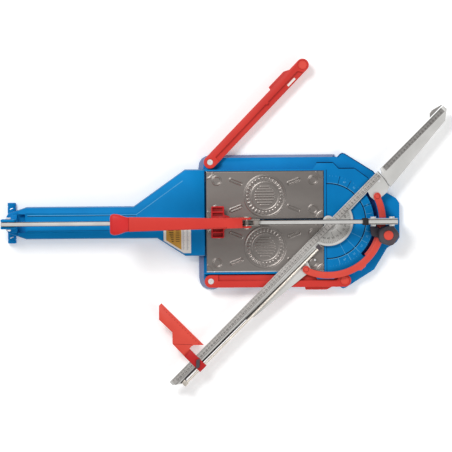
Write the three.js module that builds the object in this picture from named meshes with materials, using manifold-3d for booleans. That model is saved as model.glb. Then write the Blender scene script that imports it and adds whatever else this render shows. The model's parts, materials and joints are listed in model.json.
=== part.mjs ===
// Manual tile cutter: a cast base with a long tail, a monorail over the cutting line, a push
// carriage with its handle, two sprung plates, two folding side arms and a goniometer ruler.
// Millimetres. +X runs along the rail, +Z is up. The origin is on the bench, under the ruler's pivot.
import * as THREE from 'three';
import { mergeVertices } from 'three/addons/utils/BufferGeometryUtils.js';
import Module from 'manifold-3d';

const wasm = await Module();
wasm.setup();

// ---------------------------------------------------------------- driving dimensions

const GAP = 0.3; // clearance between two pieces that meet
const SLOPE = 0.04; // fall of the tail's roof on each side of the rail

// heights above the bench
const CASTING_BOTTOM = 6; // underside of the castings
const BED_TOP = 25; // bed under the plates, and the ledge that the arms lie on
const DECK_TOP = 48; // top of the deck, the plates and the arms
const POCKET_SKIN = 6; // metal left above the pockets under the bed and the deck
const TAIL_SKIN = 10; // metal left above the tail's pockets
const RIB = 8; // ribs between the pockets

// plates, and the well that they sit in
const PLATE_END_GAP = 4; // from the ruler's pin to the plates
const PLATE_LENGTH = 317;
const PLATE_WIDTH = 128;
const PLATE_THICKNESS = 4;
const LINE_GAP = 16; // gap between the plates, over the cutting line
const WELL_CLEARANCE = 0.8;
const RIM = 4.2; // wall along the plates' outer sides
const BAR_WIDTH = 6; // breaking bar
const BAR_ABOVE_DECK = 1.3;

// body
const BODY_EAST = 194;
const BODY_END_WALL = 8; // from the body's west end to the plates
const SKIRT_WEST = 13; // how far the sloping skirt runs out at the west end
const SKIRT_NORTH = 7; // and along the north side
const JOINT_INSET = 3.5; // from the body's west end to its joint with the tail
const LEDGE_MARGIN = 12; // ledge outside the arms' pivots
const SECTOR_RADIUS = 124; // round east edge of the deck
const RECESS_OUTER = 137;
const RECESS_DEPTH = 6;
const LUG_LIFT = 7; // thickness of the deck's overhanging lugs
const LUG_REACH = 16;

// tail
const TAIL_START = -870;
const TAIL_HALF_WIDTH = 43.5;
const TAIL_NORTH = 142;
const TAIL_SOUTH = -92;
const TAIL_EDGE = 22; // sloping border along the tail's edges
const TAIL_EDGE_FALL = 7;
const NOSE_LENGTH = 32;
const NOSE_DROP = 12; // how far the nose lies below the ridge
const CROSSBAR_INSET = 13;
const CROSSBAR_RADIUS = 11.5;
const CROSSBAR_LENGTH = 110;

// rail
const RAIL_OVERHANG = 6; // past the tail's end
const RAIL_SETBACK = 12; // behind the body's east end
const RAIL_WIDTH = 11;
const RAIL_ABOVE_DECK = 47;
const RAIL_HEIGHT = 40;
const RAIL_BOLT_HEIGHT = 17; // bolts above the rail's underside
const BOLT_RADIUS = 4;

// side arms
const ARM_PIVOT_INSET = 19; // from the body's west end
const ARM_LENGTH = 362;
const ARM_WIDTH = 34;
const ARM_CLEARANCE = 3; // between the deck's side and a closed arm
const ARM_STEP = 8; // the inner half lies this much lower
const ARM_OPEN = 46; // degrees that the north arm stands open
const ARM_SCREW_RADIUS = 5;
const PAD_RADIUS = 12;

// goniometer, in its own frame: X along the contact edge, the ruler's body on the -Y side
const RULER_ANGLE = 45;
const RULER_CLEARANCE = 1.8; // over the deck and the breaking bar
const RULER_THICKNESS = 6.9;
const RULER_LEFT = -611;
const RULER_END_RADIUS = 190;
const RULER_WIDTH = 29;
const STRIP_WIDTH = 17;
const STRIP_THICKNESS = 1;
const WEB_THICKNESS = 2.7;
const DISC_RADIUS = 67;
const PIN_RADIUS = 8;
const ROD_RADIUS = 3.5;
const ROD_STANDOFF = 4.3; // from the ruler's side to the rod's axis
const ROD_START = -590;
const ROD_END = -62;
const ARC_INNER = 137;
const ARC_OUTER = 155;
const ARC_FROM = 18.6;
const ARC_RISE = 5.3; // above the ruler's top
const BOSS_RADIUS = 10;
const BOSS_FROM_ROD = 15.7; // from the rod's axis to the west boss
const EXTENSION_END = 438;
const TONGUE_WIDTH = 14;
const TONGUE_THICKNESS = 2.8;
const SQUARE_EDGE = -474.4;
const SQUARE_REACH = 165.5;
const SQUARE_THICKNESS = 7.2;
const STEM_LEFT = -533;
const STEM_RIGHT = -508.5;
const SLIDER_THICKNESS = 4.4;

// clamp
const CLAMP_X = 160;
const CLAMP_Y = -38.5;
const STUD_RADIUS = 4;
const CLAMP_PLATE_THICKNESS = 2.8;
const KNOB_RADIUS = 29;
const KNOB_HEIGHT = 19;
const KNOB_CAP_RADIUS = 13;

// carriage, in its own frame: the origin is the handle's pivot, Y along the bolt
const PIVOT_X = -222;
const PIVOT_ABOVE_RAIL = 15;
const CHEEK_THICKNESS = 2.6;
const CHEEK_CLEARANCE = 0.5;
const CHEEK_WEST = -54;
const CHEEK_EAST = 36;
const PRONG_THICKNESS = 4;
const ROLLER_RADIUS = 9;
const AXLE_RADIUS = 2.5;
const SHAFT_START = -9;
const SHAFT_END = -310;
const SHAFT_THICKNESS = 16;
const SHAFT_RISE = 0.1;
const GRIP_LENGTH = 50;
const GRIP_WIDTH = 56;
const FOOT_HALF_WIDTH = 43;
const FOOT_ABOVE_DECK = 22;
const FOOT_THICKNESS = 7;
const WHEEL_X = 46;
const WHEEL_RADIUS = 11;
const WHEEL_THICKNESS = 4;
const WHEEL_ABOVE_DECK = 18;

// ---------------------------------------------------------------- sizes that follow

const PLATE_EAST = -PIN_RADIUS - PLATE_END_GAP;
const PLATE_WEST = PLATE_EAST - PLATE_LENGTH;
const PLATE_INNER = LINE_GAP / 2;
const PLATE_OUTER = PLATE_INNER + PLATE_WIDTH;
const WELL_SIDE = PLATE_OUTER + WELL_CLEARANCE;
const DECK_SIDE = WELL_SIDE + RIM;
const BODY_WEST = PLATE_WEST - BODY_END_WALL;
const JOINT_X = BODY_WEST + JOINT_INSET; // where the tail meets the body
const ARM_RADIUS = ARM_WIDTH / 2;
const ARM_BOTTOM = BED_TOP + 1;
const ARM_PIVOT_X = BODY_WEST + ARM_PIVOT_INSET;
const ARM_PIVOT_Y = DECK_SIDE + ARM_CLEARANCE + ARM_RADIUS;
const BODY_HALF_WIDTH = ARM_PIVOT_Y + LEDGE_MARGIN;
const NOSE_X = TAIL_START + NOSE_LENGTH;
const NOSE_TOP = DECK_TOP - NOSE_DROP;
const CROSSBAR_X = TAIL_START + CROSSBAR_INSET;
const RAIL_START = TAIL_START - RAIL_OVERHANG;
const RAIL_END = BODY_EAST - RAIL_SETBACK;
const RAIL_BOTTOM = DECK_TOP + RAIL_ABOVE_DECK;
const RAIL_TOP = RAIL_BOTTOM + RAIL_HEIGHT;
const RAIL_HALF = RAIL_WIDTH / 2;
const RULER_BOTTOM = DECK_TOP + RULER_CLEARANCE;
const RULER_TOP = RULER_BOTTOM + RULER_THICKNESS;
const WEB_TOP = RULER_BOTTOM + WEB_THICKNESS;
const STRIP_BOTTOM = RULER_TOP + GAP;
const STRIP_TOP = STRIP_BOTTOM + STRIP_THICKNESS;
const ROD_OFFSET = RULER_WIDTH + ROD_STANDOFF;
const ROD_Z = WEB_TOP + ROD_RADIUS + 0.5;
const ARC_BOTTOM = RULER_BOTTOM + 1.2;
const ARC_TOP = RULER_TOP + ARC_RISE;
const SQUARE_TOP = RULER_BOTTOM + SQUARE_THICKNESS;
const SLIDER_TOP = STRIP_TOP + SLIDER_THICKNESS;
const KNOB_BOTTOM = ARC_TOP + CLAMP_PLATE_THICKNESS;
const PIVOT_Z = RAIL_TOP + PIVOT_ABOVE_RAIL;
const FOOT_BOTTOM = DECK_TOP + FOOT_ABOVE_DECK;
const WHEEL_BOTTOM = DECK_TOP + WHEEL_ABOVE_DECK;
const CHEEK_INNER = RAIL_HALF + CHEEK_CLEARANCE;
const CHEEK_OUTER = CHEEK_INNER + CHEEK_THICKNESS;
const PRONG_INNER = CHEEK_OUTER + GAP;
const PRONG_OUTER = PRONG_INNER + PRONG_THICKNESS;

// ---------------------------------------------------------------- solids from three.js shapes

// A closed geometry as a solid, with shared vertices merged and faces pointing out.
function solid(geometry) {
  geometry.deleteAttribute('normal');
  geometry.deleteAttribute('uv');
  const merged = mergeVertices(geometry, 1e-4);
  const vertProperties = new Float32Array(merged.attributes.position.array);
  const index = merged.index.array;
  const triangles = [];
  for (let i = 0; i < index.length; i += 3) {
    const [a, b, c] = [index[i], index[i + 1], index[i + 2]];
    if (a !== b && b !== c && c !== a) triangles.push(a, b, c);
  }
  if (signedVolume(vertProperties, triangles) < 0) triangles.reverse();
  const triVerts = new Uint32Array(triangles);
  return new wasm.Manifold(new wasm.Mesh({ numProp: 3, vertProperties, triVerts }));
}

function signedVolume(points, triangles) {
  const corner = (i) => new THREE.Vector3().fromArray(points, 3 * triangles[i]);
  let volume = 0;
  for (let i = 0; i < triangles.length; i += 3) {
    volume += corner(i).dot(corner(i + 1).cross(corner(i + 2)));
  }
  return volume;
}

// An outline from corners [x, y] or [x, y, radius], each radius rounding its corner.
function outline(corners) {
  const shape = new THREE.Shape();
  const count = corners.length;
  corners.forEach(([x, y, radius = 0], i) => {
    const here = new THREE.Vector2(x, y);
    const before = new THREE.Vector2(...corners[(i + count - 1) % count].slice(0, 2)).sub(here);
    const after = new THREE.Vector2(...corners[(i + 1) % count].slice(0, 2)).sub(here);
    const angle = before.angleTo(after);
    const trim = radius / Math.tan(angle / 2);
    const from = here.clone().addScaledVector(before.normalize(), trim);
    const to = here.clone().addScaledVector(after.normalize(), trim);
    if (i === 0) shape.moveTo(from.x, from.y);
    else shape.lineTo(from.x, from.y);
    if (radius > 0) shape.quadraticCurveTo(x, y, to.x, to.y);
  });
  shape.closePath();
  return shape;
}

// The outline and its mirror image across Y = 0, joined into one run of corners.
function mirrored(corners) {
  const other = corners.map(([x, y, radius]) => [x, -y, radius]).reverse();
  return outline([...corners, ...other]);
}

// A ring sector between two radii and two angles in degrees.
function sector(inner, outer, from, to) {
  const [start, end] = [THREE.MathUtils.degToRad(from), THREE.MathUtils.degToRad(to)];
  const shape = new THREE.Shape();
  shape.absarc(0, 0, outer, start, end, false);
  shape.absarc(0, 0, inner, end, start, true);
  shape.closePath();
  return shape;
}

function prism(shape, bottom, top, curveSegments = 4) {
  const depth = top - bottom;
  const geometry = new THREE.ExtrudeGeometry(shape, { depth, bevelEnabled: false, curveSegments });
  return solid(geometry.translate(0, 0, bottom));
}

// A prism whose top edge falls away by `drop` over `inset`.
function tapered(shape, bottom, top, inset, drop, curveSegments = 4) {
  const settings = { bevelEnabled: true, bevelSegments: 1, curveSegments };
  Object.assign(settings, { bevelSize: inset, bevelOffset: -inset, bevelThickness: drop });
  settings.depth = top - drop - bottom;
  const body = solid(new THREE.ExtrudeGeometry(shape, settings).translate(0, 0, bottom));
  return body.subtract(box(-2000, 2000, -2000, 2000, bottom - drop - 1, bottom));
}

// A side profile [x, z] carried across Y.
function across(corners, near, far) {
  const body = prism(outline(corners), near, far);
  return body.rotate([90, 0, 0]).scale([1, -1, 1]);
}

function box(x0, x1, y0, y1, z0, z1) {
  const geometry = new THREE.BoxGeometry(x1 - x0, y1 - y0, z1 - z0);
  return solid(geometry.translate((x0 + x1) / 2, (y0 + y1) / 2, (z0 + z1) / 2));
}

function turned(profile, segments = 24) {
  const points = profile.map(([radius, z]) => new THREE.Vector2(radius, z));
  return solid(new THREE.LatheGeometry(points, segments).rotateX(Math.PI / 2));
}

function disc(radius, bottom, top, segments = 24) {
  const geometry = new THREE.CylinderGeometry(radius, radius, top - bottom, segments);
  return solid(geometry.rotateX(Math.PI / 2).translate(0, 0, (bottom + top) / 2));
}

function ring(inner, outer, bottom, top, segments = 24) {
  return disc(outer, bottom, top, segments).subtract(disc(inner, bottom - 1, top + 1, segments));
}

// A round bar along Y or X through a point.
function barY(radius, x, z, near, far, segments = 16) {
  return disc(radius, near, far, segments).rotate([-90, 0, 0]).translate([x, 0, z]);
}

function barX(radius, y, z, near, far, segments = 16) {
  return disc(radius, near, far, segments).rotate([0, 90, 0]).translate([0, y, z]);
}

function union(first, ...others) {
  return others.reduce((sum, other) => sum.add(other), first);
}

function cut(first, ...others) {
  return others.reduce((left, other) => left.subtract(other), first);
}

// ---------------------------------------------------------------- materials and placing

function finish(color, roughness, metalness) {
  return new THREE.MeshStandardMaterial({ color, roughness, metalness });
}

const BLUE = [0x0b7cc0, 0.42, 0.35];
const RED = [0xd23a33, 0.45, 0.05];
const DARK_RED = [0xc02a27, 0.5, 0.05];
const STEEL = [0xb9b5b0, 0.35, 0.9];
const PLATE_STEEL = [0x6f6a66, 0.32, 0.85];
const ALUMINIUM = [0xbfbebb, 0.38, 0.8];
const CHROME = [0xdadada, 0.12, 1];
const BLACK = [0x2b292c, 0.6, 0];
const RUBBER = [0x202022, 0.85, 0];

function piece(group, name, body, look) {
  const { vertProperties, triVerts } = body.getMesh();
  const geometry = new THREE.BufferGeometry();
  geometry.setAttribute('position', new THREE.BufferAttribute(vertProperties, 3));
  geometry.setIndex(new THREE.BufferAttribute(triVerts, 1));
  const mesh = new THREE.Mesh(geometry, finish(...look));
  mesh.name = name;
  group.add(mesh);
  return mesh;
}

const cutter = new THREE.Group();

// ---------------------------------------------------------------- body casting

const eastCorners = [
  [27, BODY_HALF_WIDTH],
  [34, BODY_HALF_WIDTH + 8],
  [40, BODY_HALF_WIDTH + 11],
  [47, BODY_HALF_WIDTH + 9],
  [125, BODY_HALF_WIDTH - 40],
  [160, 75],
  [BODY_EAST - 9, 60],
  [BODY_EAST, 47],
];

function bodyOutline() {
  return mirrored([[BODY_WEST, BODY_HALF_WIDTH, 30], ...eastCorners]);
}

// Deck: the rim round the plates and the round sector that carries the angle scale.
function deckOutline() {
  const shape = new THREE.Shape();
  shape.moveTo(BODY_WEST, -DECK_SIDE);
  shape.lineTo(72, -DECK_SIDE);
  shape.lineTo(110, -113);
  shape.absarc(0, 0, SECTOR_RADIUS, -Math.PI / 4, Math.PI / 4, false);
  shape.lineTo(110, 113);
  shape.lineTo(72, DECK_SIDE);
  shape.lineTo(BODY_WEST, DECK_SIDE);
  shape.closePath();
  return shape;
}

// Lug of the deck that reaches over the closed arm's lower half.
function deckLug(side) {
  const root = DECK_SIDE - 1;
  const tip = DECK_SIDE + LUG_REACH;
  const lug = prism(
    outline([[-42, root], [30, root], [14, tip], [-30, tip]]),
    DECK_TOP - LUG_LIFT,
    DECK_TOP,
  );
  return side > 0 ? lug : lug.scale([1, -1, 1]);
}

// Pockets underneath, in a grid with ribs between them.
function pockets(x0, x1, y0, y1, top, columns, rows) {
  const width = (x1 - x0 - RIB * (columns - 1)) / columns;
  const depth = (y1 - y0 - RIB * (rows - 1)) / rows;
  const cells = [];
  for (let i = 0; i < columns; i += 1) {
    for (let j = 0; j < rows; j += 1) {
      const x = x0 + i * (width + RIB);
      const y = y0 + j * (depth + RIB);
      cells.push(box(x, x + width, y, y + depth, CASTING_BOTTOM - 1, top));
    }
  }
  return cells;
}

// Bridge under the rail's east end: two posts, with the arc handle's way between them.
const BRIDGE = {
  west: RAIL_END - 78,
  postWest: RAIL_END - 51,
  postEast: RAIL_END - 22,
  east: RAIL_END + 5,
  halfWidth: 8.5,
};
const footPlaces = {
  northwest: [BODY_WEST + 37, BODY_HALF_WIDTH - 21],
  southwest: [BODY_WEST + 37, 21 - BODY_HALF_WIDTH],
  northeast: [70, BODY_HALF_WIDTH - 25],
  southeast: [70, 25 - BODY_HALF_WIDTH],
};

function baseCasting() {
  const body = prism(bodyOutline(), CASTING_BOTTOM, BED_TOP);
  const [north, west, south] = [BODY_HALF_WIDTH + SKIRT_NORTH, BODY_WEST - SKIRT_WEST, -BODY_HALF_WIDTH - 6];
  const corner = south - 6; // rounded corner under the closed arm's pivot
  const southSide = [[20, south], [ARM_PIVOT_X + 22, south], [ARM_PIVOT_X + 8, corner], [west, corner, 34]];
  const skirtShape = outline([[west, north, 36], [20, north], ...southSide]);
  const skirtHeight = BED_TOP - CASTING_BOTTOM;
  const skirt = tapered(skirtShape, CASTING_BOTTOM, BED_TOP, SKIRT_WEST, skirtHeight - 2);
  const deck = prism(deckOutline(), BED_TOP - 1, DECK_TOP, 16);
  const well = box(
    BODY_WEST - 1,
    PLATE_EAST + WELL_CLEARANCE,
    -WELL_SIDE,
    WELL_SIDE,
    BED_TOP,
    DECK_TOP + 1,
  );
  const recess = prism(
    sector(SECTOR_RADIUS, RECESS_OUTER, -48, 42),
    BED_TOP - RECESS_DEPTH,
    BED_TOP + 1,
    12,
  );
  const shape = cut(union(body, skirt, deck, deckLug(1), deckLug(-1)), well, recess);
  const post = box(BRIDGE.west - 4, BRIDGE.postWest, -12, 12, BED_TOP - RECESS_DEPTH - 1, DECK_TOP);
  const notch = box(BODY_WEST - 50, JOINT_X + GAP, TAIL_SOUTH - GAP, TAIL_NORTH + GAP, 0, DECK_TOP + 1);
  const hollows = [
    ...pockets(
      PLATE_WEST + 24,
      PLATE_EAST - 10,
      33 - BODY_HALF_WIDTH,
      BODY_HALF_WIDTH - 33,
      BED_TOP - POCKET_SKIN,
      3,
      3,
    ),
    ...pockets(-4, 90, -108, -24, DECK_TOP - POCKET_SKIN, 1, 1),
    ...pockets(-4, 90, 24, 108, DECK_TOP - POCKET_SKIN, 1, 1),
  ];
  const holes = [
    disc(PIN_RADIUS + GAP, PIN_BOTTOM - GAP, DECK_TOP + 1),
    disc(STUD_RADIUS + GAP, STUD_BOTTOM - GAP, BED_TOP + 1, 16).translate([CLAMP_X, CLAMP_Y, 0]),
    armScrewHole(1),
    armScrewHole(-1),
    ...jointBoltHoles(),
  ];
  return cut(union(shape, post), notch, ...hollows, ...holes);
}

const PIN_BOTTOM = 30;
const STUD_BOTTOM = 12;
const JOINT_BOLT = 3;
const JOINT_BOLT_TOP = 18;
const JOINT_BOLT_INSET = 9;
// Two studs on each side of the joint, one pair towards each end of it.
const jointBoltPlaces = [-50, 90].flatMap((y) => [
  [JOINT_X - JOINT_BOLT_INSET, y],
  [JOINT_X + JOINT_BOLT_INSET, y],
]);

function jointBoltHoles() {
  const hole = disc(JOINT_BOLT + GAP, 0, JOINT_BOLT_TOP + GAP, 12);
  return jointBoltPlaces.map(([x, y]) => hole.translate([x, y, 0]));
}

function armScrewHole(side) {
  const hole = disc(ARM_SCREW_RADIUS + GAP, ARM_SCREW_BOTTOM - GAP, BED_TOP + 1, 16);
  return hole.translate([ARM_PIVOT_X, side * ARM_PIVOT_Y, 0]);
}

const ARM_SCREW_BOTTOM = 13;

// ---------------------------------------------------------------- tail casting

// Corners where the tail widens towards the body, from the north waist round to the south waist.
function tailFlanks(joint) {
  return [
    [JOINT_X - 192.5, TAIL_HALF_WIDTH],
    [JOINT_X - 53.5, TAIL_NORTH],
    [joint, TAIL_NORTH],
    [joint, TAIL_SOUTH],
    [JOINT_X - 52.5, TAIL_SOUTH],
    [JOINT_X - 128.5, -TAIL_HALF_WIDTH],
  ];
}

function tailOutline() {
  return outline([
    [TAIL_START, -19],
    [TAIL_START, 19, 4],
    [TAIL_START + 5, 27, 6],
    [NOSE_X, 36],
    [TAIL_START + 54, TAIL_HALF_WIDTH],
    ...tailFlanks(JOINT_X),
    [TAIL_START + 54, -TAIL_HALF_WIDTH],
    [NOSE_X, -36],
    [TAIL_START + 5, -27, 6],
  ]);
}

// A long wedge-topped block: everything under the tail's roof, raised by `lift`.
function underRoof(lift) {
  const reach = 200;
  const eaves = DECK_TOP - SLOPE * reach + lift;
  const section = [[-reach, 0], [reach, 0], [reach, eaves], [0, DECK_TOP + lift], [-reach, eaves]];
  const body = prism(outline(section), TAIL_START - 10, JOINT_X + 10);
  return body.rotate([90, 0, 90]);
}

function tailCasting() {
  const ends = [TAIL_START - 40, JOINT_X + 40];
  const broad = outline([
    [ends[0], -TAIL_HALF_WIDTH],
    [ends[0], TAIL_HALF_WIDTH],
    ...tailFlanks(ends[1]),
  ]);
  const sloped = tapered(broad, CASTING_BOTTOM, DECK_TOP, TAIL_EDGE, TAIL_EDGE_FALL);
  const sides = prism(tailOutline(), CASTING_BOTTOM, DECK_TOP);
  const roofed = sloped.intersect(sides).intersect(underRoof(0));
  const hollows = [
    ...pockets(TAIL_START + 58, JOINT_X - 20, -34, 34, DECK_TOP - TAIL_SKIN, 3, 1),
    box(JOINT_X - 66.5, JOINT_X - 20, 44, 112, CASTING_BOTTOM - 1, DECK_TOP - TAIL_SKIN - 3),
  ];
  return cut(
    roofed,
    box(TAIL_START - 1, NOSE_X, -60, 60, NOSE_TOP, DECK_TOP + 1),
    box(NOSE_X - 1, NOSE_X + 19, -24, 24, NOSE_TOP - 6, DECK_TOP + 1),
    barY(CROSSBAR_RADIUS + GAP, CROSSBAR_X, CROSSBAR_RADIUS, -60, 60, 24),
    ...hollows,
    ...jointBoltHoles(),
  );
}

function footCrossbar() {
  const half = CROSSBAR_LENGTH / 2;
  const bar = barY(CROSSBAR_RADIUS, CROSSBAR_X, CROSSBAR_RADIUS, -half, half, 24);
  const groove = (y) => {
    const sleeve = ring(CROSSBAR_RADIUS - 1, CROSSBAR_RADIUS + 2, y - 1.5, y + 1.5);
    return sleeve.rotate([-90, 0, 0]).translate([CROSSBAR_X, 0, CROSSBAR_RADIUS]);
  };
  return cut(bar, groove(half - 8), groove(8 - half));
}

// ---------------------------------------------------------------- rail and its brackets

const RAIL_BOLT_Z = RAIL_BOTTOM + RAIL_BOLT_HEIGHT;
const REAR_BOLTS = [BRIDGE.west + 13, BRIDGE.east - 20];

function rail() {
  const half = RAIL_HALF;
  const waist = half - 1.3;
  const top = RAIL_HEIGHT;
  const right = [
    [half, 0],
    [half, 8],
    [waist, 10],
    [waist, top - 10],
    [half, top - 8],
    [half, top - 1.2],
    [half - 1.2, top],
  ];
  const section = outline([...right, ...right.map(([y, z]) => [-y, z]).reverse()]);
  const bar = prism(section, RAIL_START, RAIL_END).rotate([90, 0, 90]).translate([0, 0, RAIL_BOTTOM]);
  const hole = (x) => barY(BOLT_RADIUS + GAP, x, RAIL_BOLT_Z, -20, 20);
  return cut(bar, hole(CROSSBAR_X), ...REAR_BOLTS.map(hole));
}

// A bolt along Y with a hexagon head and a nut.
function throughBolt(x, z, reach, headRadius) {
  const shank = barY(BOLT_RADIUS, x, z, -reach - 2, reach + 2);
  const head = barY(headRadius, x, z, reach + GAP, reach + 5, 6);
  const nut = barY(headRadius, x, z, -reach - 5, -reach - GAP, 6);
  return union(shank, head, nut);
}

const FRONT_CHEEK = 13;

function frontBracket() {
  const end = NOSE_X - 1;
  const block = box(TAIL_START, end, -FRONT_CHEEK, FRONT_CHEEK, NOSE_TOP + GAP, RAIL_BOTTOM - GAP);
  const cheek = across([
    [TAIL_START - 8, RAIL_BOTTOM - 20],
    [end, RAIL_BOTTOM - 20],
    [end, RAIL_TOP - 12, 6],
    [TAIL_START - 8, RAIL_TOP - 12, 6],
  ], RAIL_HALF + GAP, FRONT_CHEEK);
  const fin = prism(
    outline([[TAIL_START + 6, 12], [end, 12], [end, 24], [end - 14, 24, 5]]),
    NOSE_TOP + GAP,
    NOSE_TOP + 26,
  );
  const half = union(cheek, fin);
  const bracket = union(block, half, half.scale([1, -1, 1]));
  return cut(bracket, barY(BOLT_RADIUS + GAP, CROSSBAR_X, RAIL_BOLT_Z, -20, 20));
}

function rearBracket() {
  const half = BRIDGE.halfWidth;
  const saddleBottom = ARC_TOP + 6; // room for the boss caps to pass under
  const saddle = box(
    BRIDGE.west,
    BRIDGE.east,
    -half,
    half,
    saddleBottom,
    RAIL_BOTTOM - CHANNEL_WALL - 2 * GAP,
  );
  const innerPost = box(BRIDGE.west, BRIDGE.postWest - 1, -half, half, DECK_TOP + GAP, saddleBottom + 1);
  const outerPost = box(BRIDGE.postEast, BRIDGE.east, -half, half, BED_TOP + GAP, saddleBottom + 1);
  return union(saddle, innerPost, outerPost);
}

// Steel channel that clasps the rail's end, with its web under the rail.
function railEndChannel() {
  const [bottom, outer] = [RAIL_BOTTOM - CHANNEL_WALL - GAP, RAIL_HALF + GAP + CHANNEL_WALL];
  const shape = [
    [BRIDGE.west, bottom],
    [RAIL_END, bottom],
    [RAIL_END, RAIL_TOP - 8, 6],
    [BRIDGE.west, RAIL_TOP - 8, 6],
  ];
  const blank = across(shape, -outer, outer);
  const room = box(
    RAIL_START,
    RAIL_END + 1,
    -RAIL_HALF - GAP,
    RAIL_HALF + GAP,
    RAIL_BOTTOM - GAP,
    RAIL_TOP + 1,
  );
  return cut(blank, room, ...REAR_BOLTS.map((x) => barY(BOLT_RADIUS + GAP, x, RAIL_BOLT_Z, -20, 20)));
}

const CHANNEL_WALL = 1.8;

function railBumper() {
  const [from, to] = [BRIDGE.west - 16, BRIDGE.west - 1];
  const [side, over] = [RAIL_HALF + 3.5, 4];
  const block = box(from, to, -side, side, RAIL_BOTTOM - over, RAIL_TOP + over);
  const opening = box(
    from - 1,
    to + 1,
    -RAIL_HALF - GAP,
    RAIL_HALF + GAP,
    RAIL_BOTTOM - GAP,
    RAIL_TOP + GAP,
  );
  return cut(block, opening);
}

// ---------------------------------------------------------------- plates, springs, breaking bar

const RING_RADIUS = 13;
const plateRings = [
  [PLATE_WEST + 28, 30],
  [PLATE_WEST + 28, 109],
  [PLATE_EAST - 29, 30],
  [PLATE_EAST - 29, 109],
];
const plateMiddle = [(PLATE_WEST + PLATE_EAST) / 2, PLATE_INNER + PLATE_WIDTH / 2 - 3];
const MEDAL_RADIUS = 57;
const EMBOSS = 0.8;

// One plate, north side: embossed rings, radiating slots and a round medal.
function plate() {
  const bottom = DECK_TOP - PLATE_THICKNESS;
  const sheet = box(PLATE_WEST, PLATE_EAST, PLATE_INNER, PLATE_OUTER, bottom, DECK_TOP);
  const flange = (y0, y1) => box(PLATE_WEST, PLATE_EAST, y0, y1, bottom - 6, bottom + 1);
  const blank = union(sheet, flange(PLATE_INNER, PLATE_INNER + 3), flange(PLATE_OUTER - 3, PLATE_OUTER));
  const grooves = plateRings.map(([x, y]) => {
    const groove = ring(RING_RADIUS - 2, RING_RADIUS, DECK_TOP - EMBOSS, DECK_TOP + 1, 16);
    return groove.translate([x, y, 0]);
  });
  const medal = ring(MEDAL_RADIUS - 2, MEDAL_RADIUS, DECK_TOP - EMBOSS, DECK_TOP + 1, 32);
  grooves.push(medal.translate([...plateMiddle, 0]));
  for (const [dx, dy] of [[-78, 36], [-78, -36], [78, 36], [78, -36]]) {
    const slot = box(-17, 17, -3.5, 3.5, DECK_TOP - EMBOSS, DECK_TOP + 1);
    const turn = Math.sign(dx * dy) * 21;
    grooves.push(slot.rotate([0, 0, turn]).translate([plateMiddle[0] + dx, plateMiddle[1] + dy, 0]));
  }
  return cut(blank, ...grooves);
}

// Wavy leaf spring under one plate.
function plateSpring() {
  const [low, high] = [BED_TOP + GAP, DECK_TOP - PLATE_THICKNESS - GAP - LEAF_THICKNESS];
  const waves = 8;
  const pitch = (PLATE_LENGTH - 40) / waves;
  const crests = Array.from(
    { length: waves + 1 },
    (_, i) => [PLATE_WEST + 20 + i * pitch, i % 2 ? high : low],
  );
  const upper = crests.map(([x, z]) => [x, z + LEAF_THICKNESS]).reverse();
  const middle = PLATE_INNER + PLATE_WIDTH / 2;
  return across([...crests, ...upper], middle - LEAF_WIDTH / 2, middle + LEAF_WIDTH / 2);
}

const LEAF_THICKNESS = 1.6;
const LEAF_WIDTH = 14;

function breakingBar() {
  const half = BAR_WIDTH / 2;
  const [bottom, top] = [BED_TOP + GAP, DECK_TOP + BAR_ABOVE_DECK];
  const section = outline(
    [[-half, bottom], [half, bottom], [half, top - 3], [0.8, top], [-0.8, top], [-half, top - 3]],
  );
  return prism(section, PLATE_WEST, PLATE_EAST).rotate([90, 0, 90]);
}

// ---------------------------------------------------------------- fixed fittings

function rubberFoot() {
  return turned([[0, 0], [12, 0], [15, CASTING_BOTTOM - GAP], [0, CASTING_BOTTOM - GAP]], 16);
}

// Steel plate under the joint, with the studs that tie the tail to the body.
function jointPlate() {
  const [bottom, top] = [2, CASTING_BOTTOM - GAP];
  const strip = box(JOINT_X - 40, JOINT_X + 40, -66, 106, bottom, top);
  const studs = jointBoltPlaces.map(([x, y]) => {
    const stud = union(disc(JOINT_BOLT, bottom, JOINT_BOLT_TOP, 12), disc(5.5, 0.8, bottom + 1, 12));
    return stud.translate([x, y, 0]);
  });
  return union(strip, ...studs);
}

function clampPlate() {
  const [bottom, top] = [ARC_TOP + 0.4, KNOB_BOTTOM - GAP];
  const bar = outline([[112, -14], [168, -26], [172, -46], [150, -52], [116, -40]]);
  const nose = outline([[112, -17], [123, -19], [122, -36], [115, -38]]);
  const shape = union(prism(bar, bottom, top), prism(nose, ARC_BOTTOM + 2, bottom + 1));
  return cut(shape, disc(STUD_RADIUS + GAP, bottom - 1, top + 1, 16).translate([CLAMP_X, CLAMP_Y, 0]));
}

// Soft five-lobed knob on the stud.
function clampKnob() {
  const shape = new THREE.Shape();
  const [steps, lobes, wave] = [30, 5, 1.6];
  for (let i = 0; i < steps; i += 1) {
    const angle = (i / steps) * 2 * Math.PI;
    const radius = KNOB_RADIUS - wave + wave * Math.cos(lobes * angle);
    shape[i ? 'lineTo' : 'moveTo'](radius * Math.cos(angle), radius * Math.sin(angle));
  }
  shape.closePath();
  const top = KNOB_BOTTOM + KNOB_HEIGHT;
  const body = tapered(shape, KNOB_BOTTOM, top, 5, 6);
  return cut(
    body,
    disc(STUD_RADIUS + GAP, KNOB_BOTTOM - 1, STUD_TOP + GAP, 16),
    disc(KNOB_CAP_RADIUS + GAP, top - 3, top + 1),
  );
}

const STUD_TOP = KNOB_BOTTOM + 12;

function knobCap() {
  const top = KNOB_BOTTOM + KNOB_HEIGHT;
  const [foot, rim] = [top - 3 + GAP, KNOB_CAP_RADIUS];
  return turned([[0, foot], [rim, foot], [rim, top + 1], [rim - 2, top + 3], [0, top + 3]]);
}

// ---------------------------------------------------------------- side arms

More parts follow.
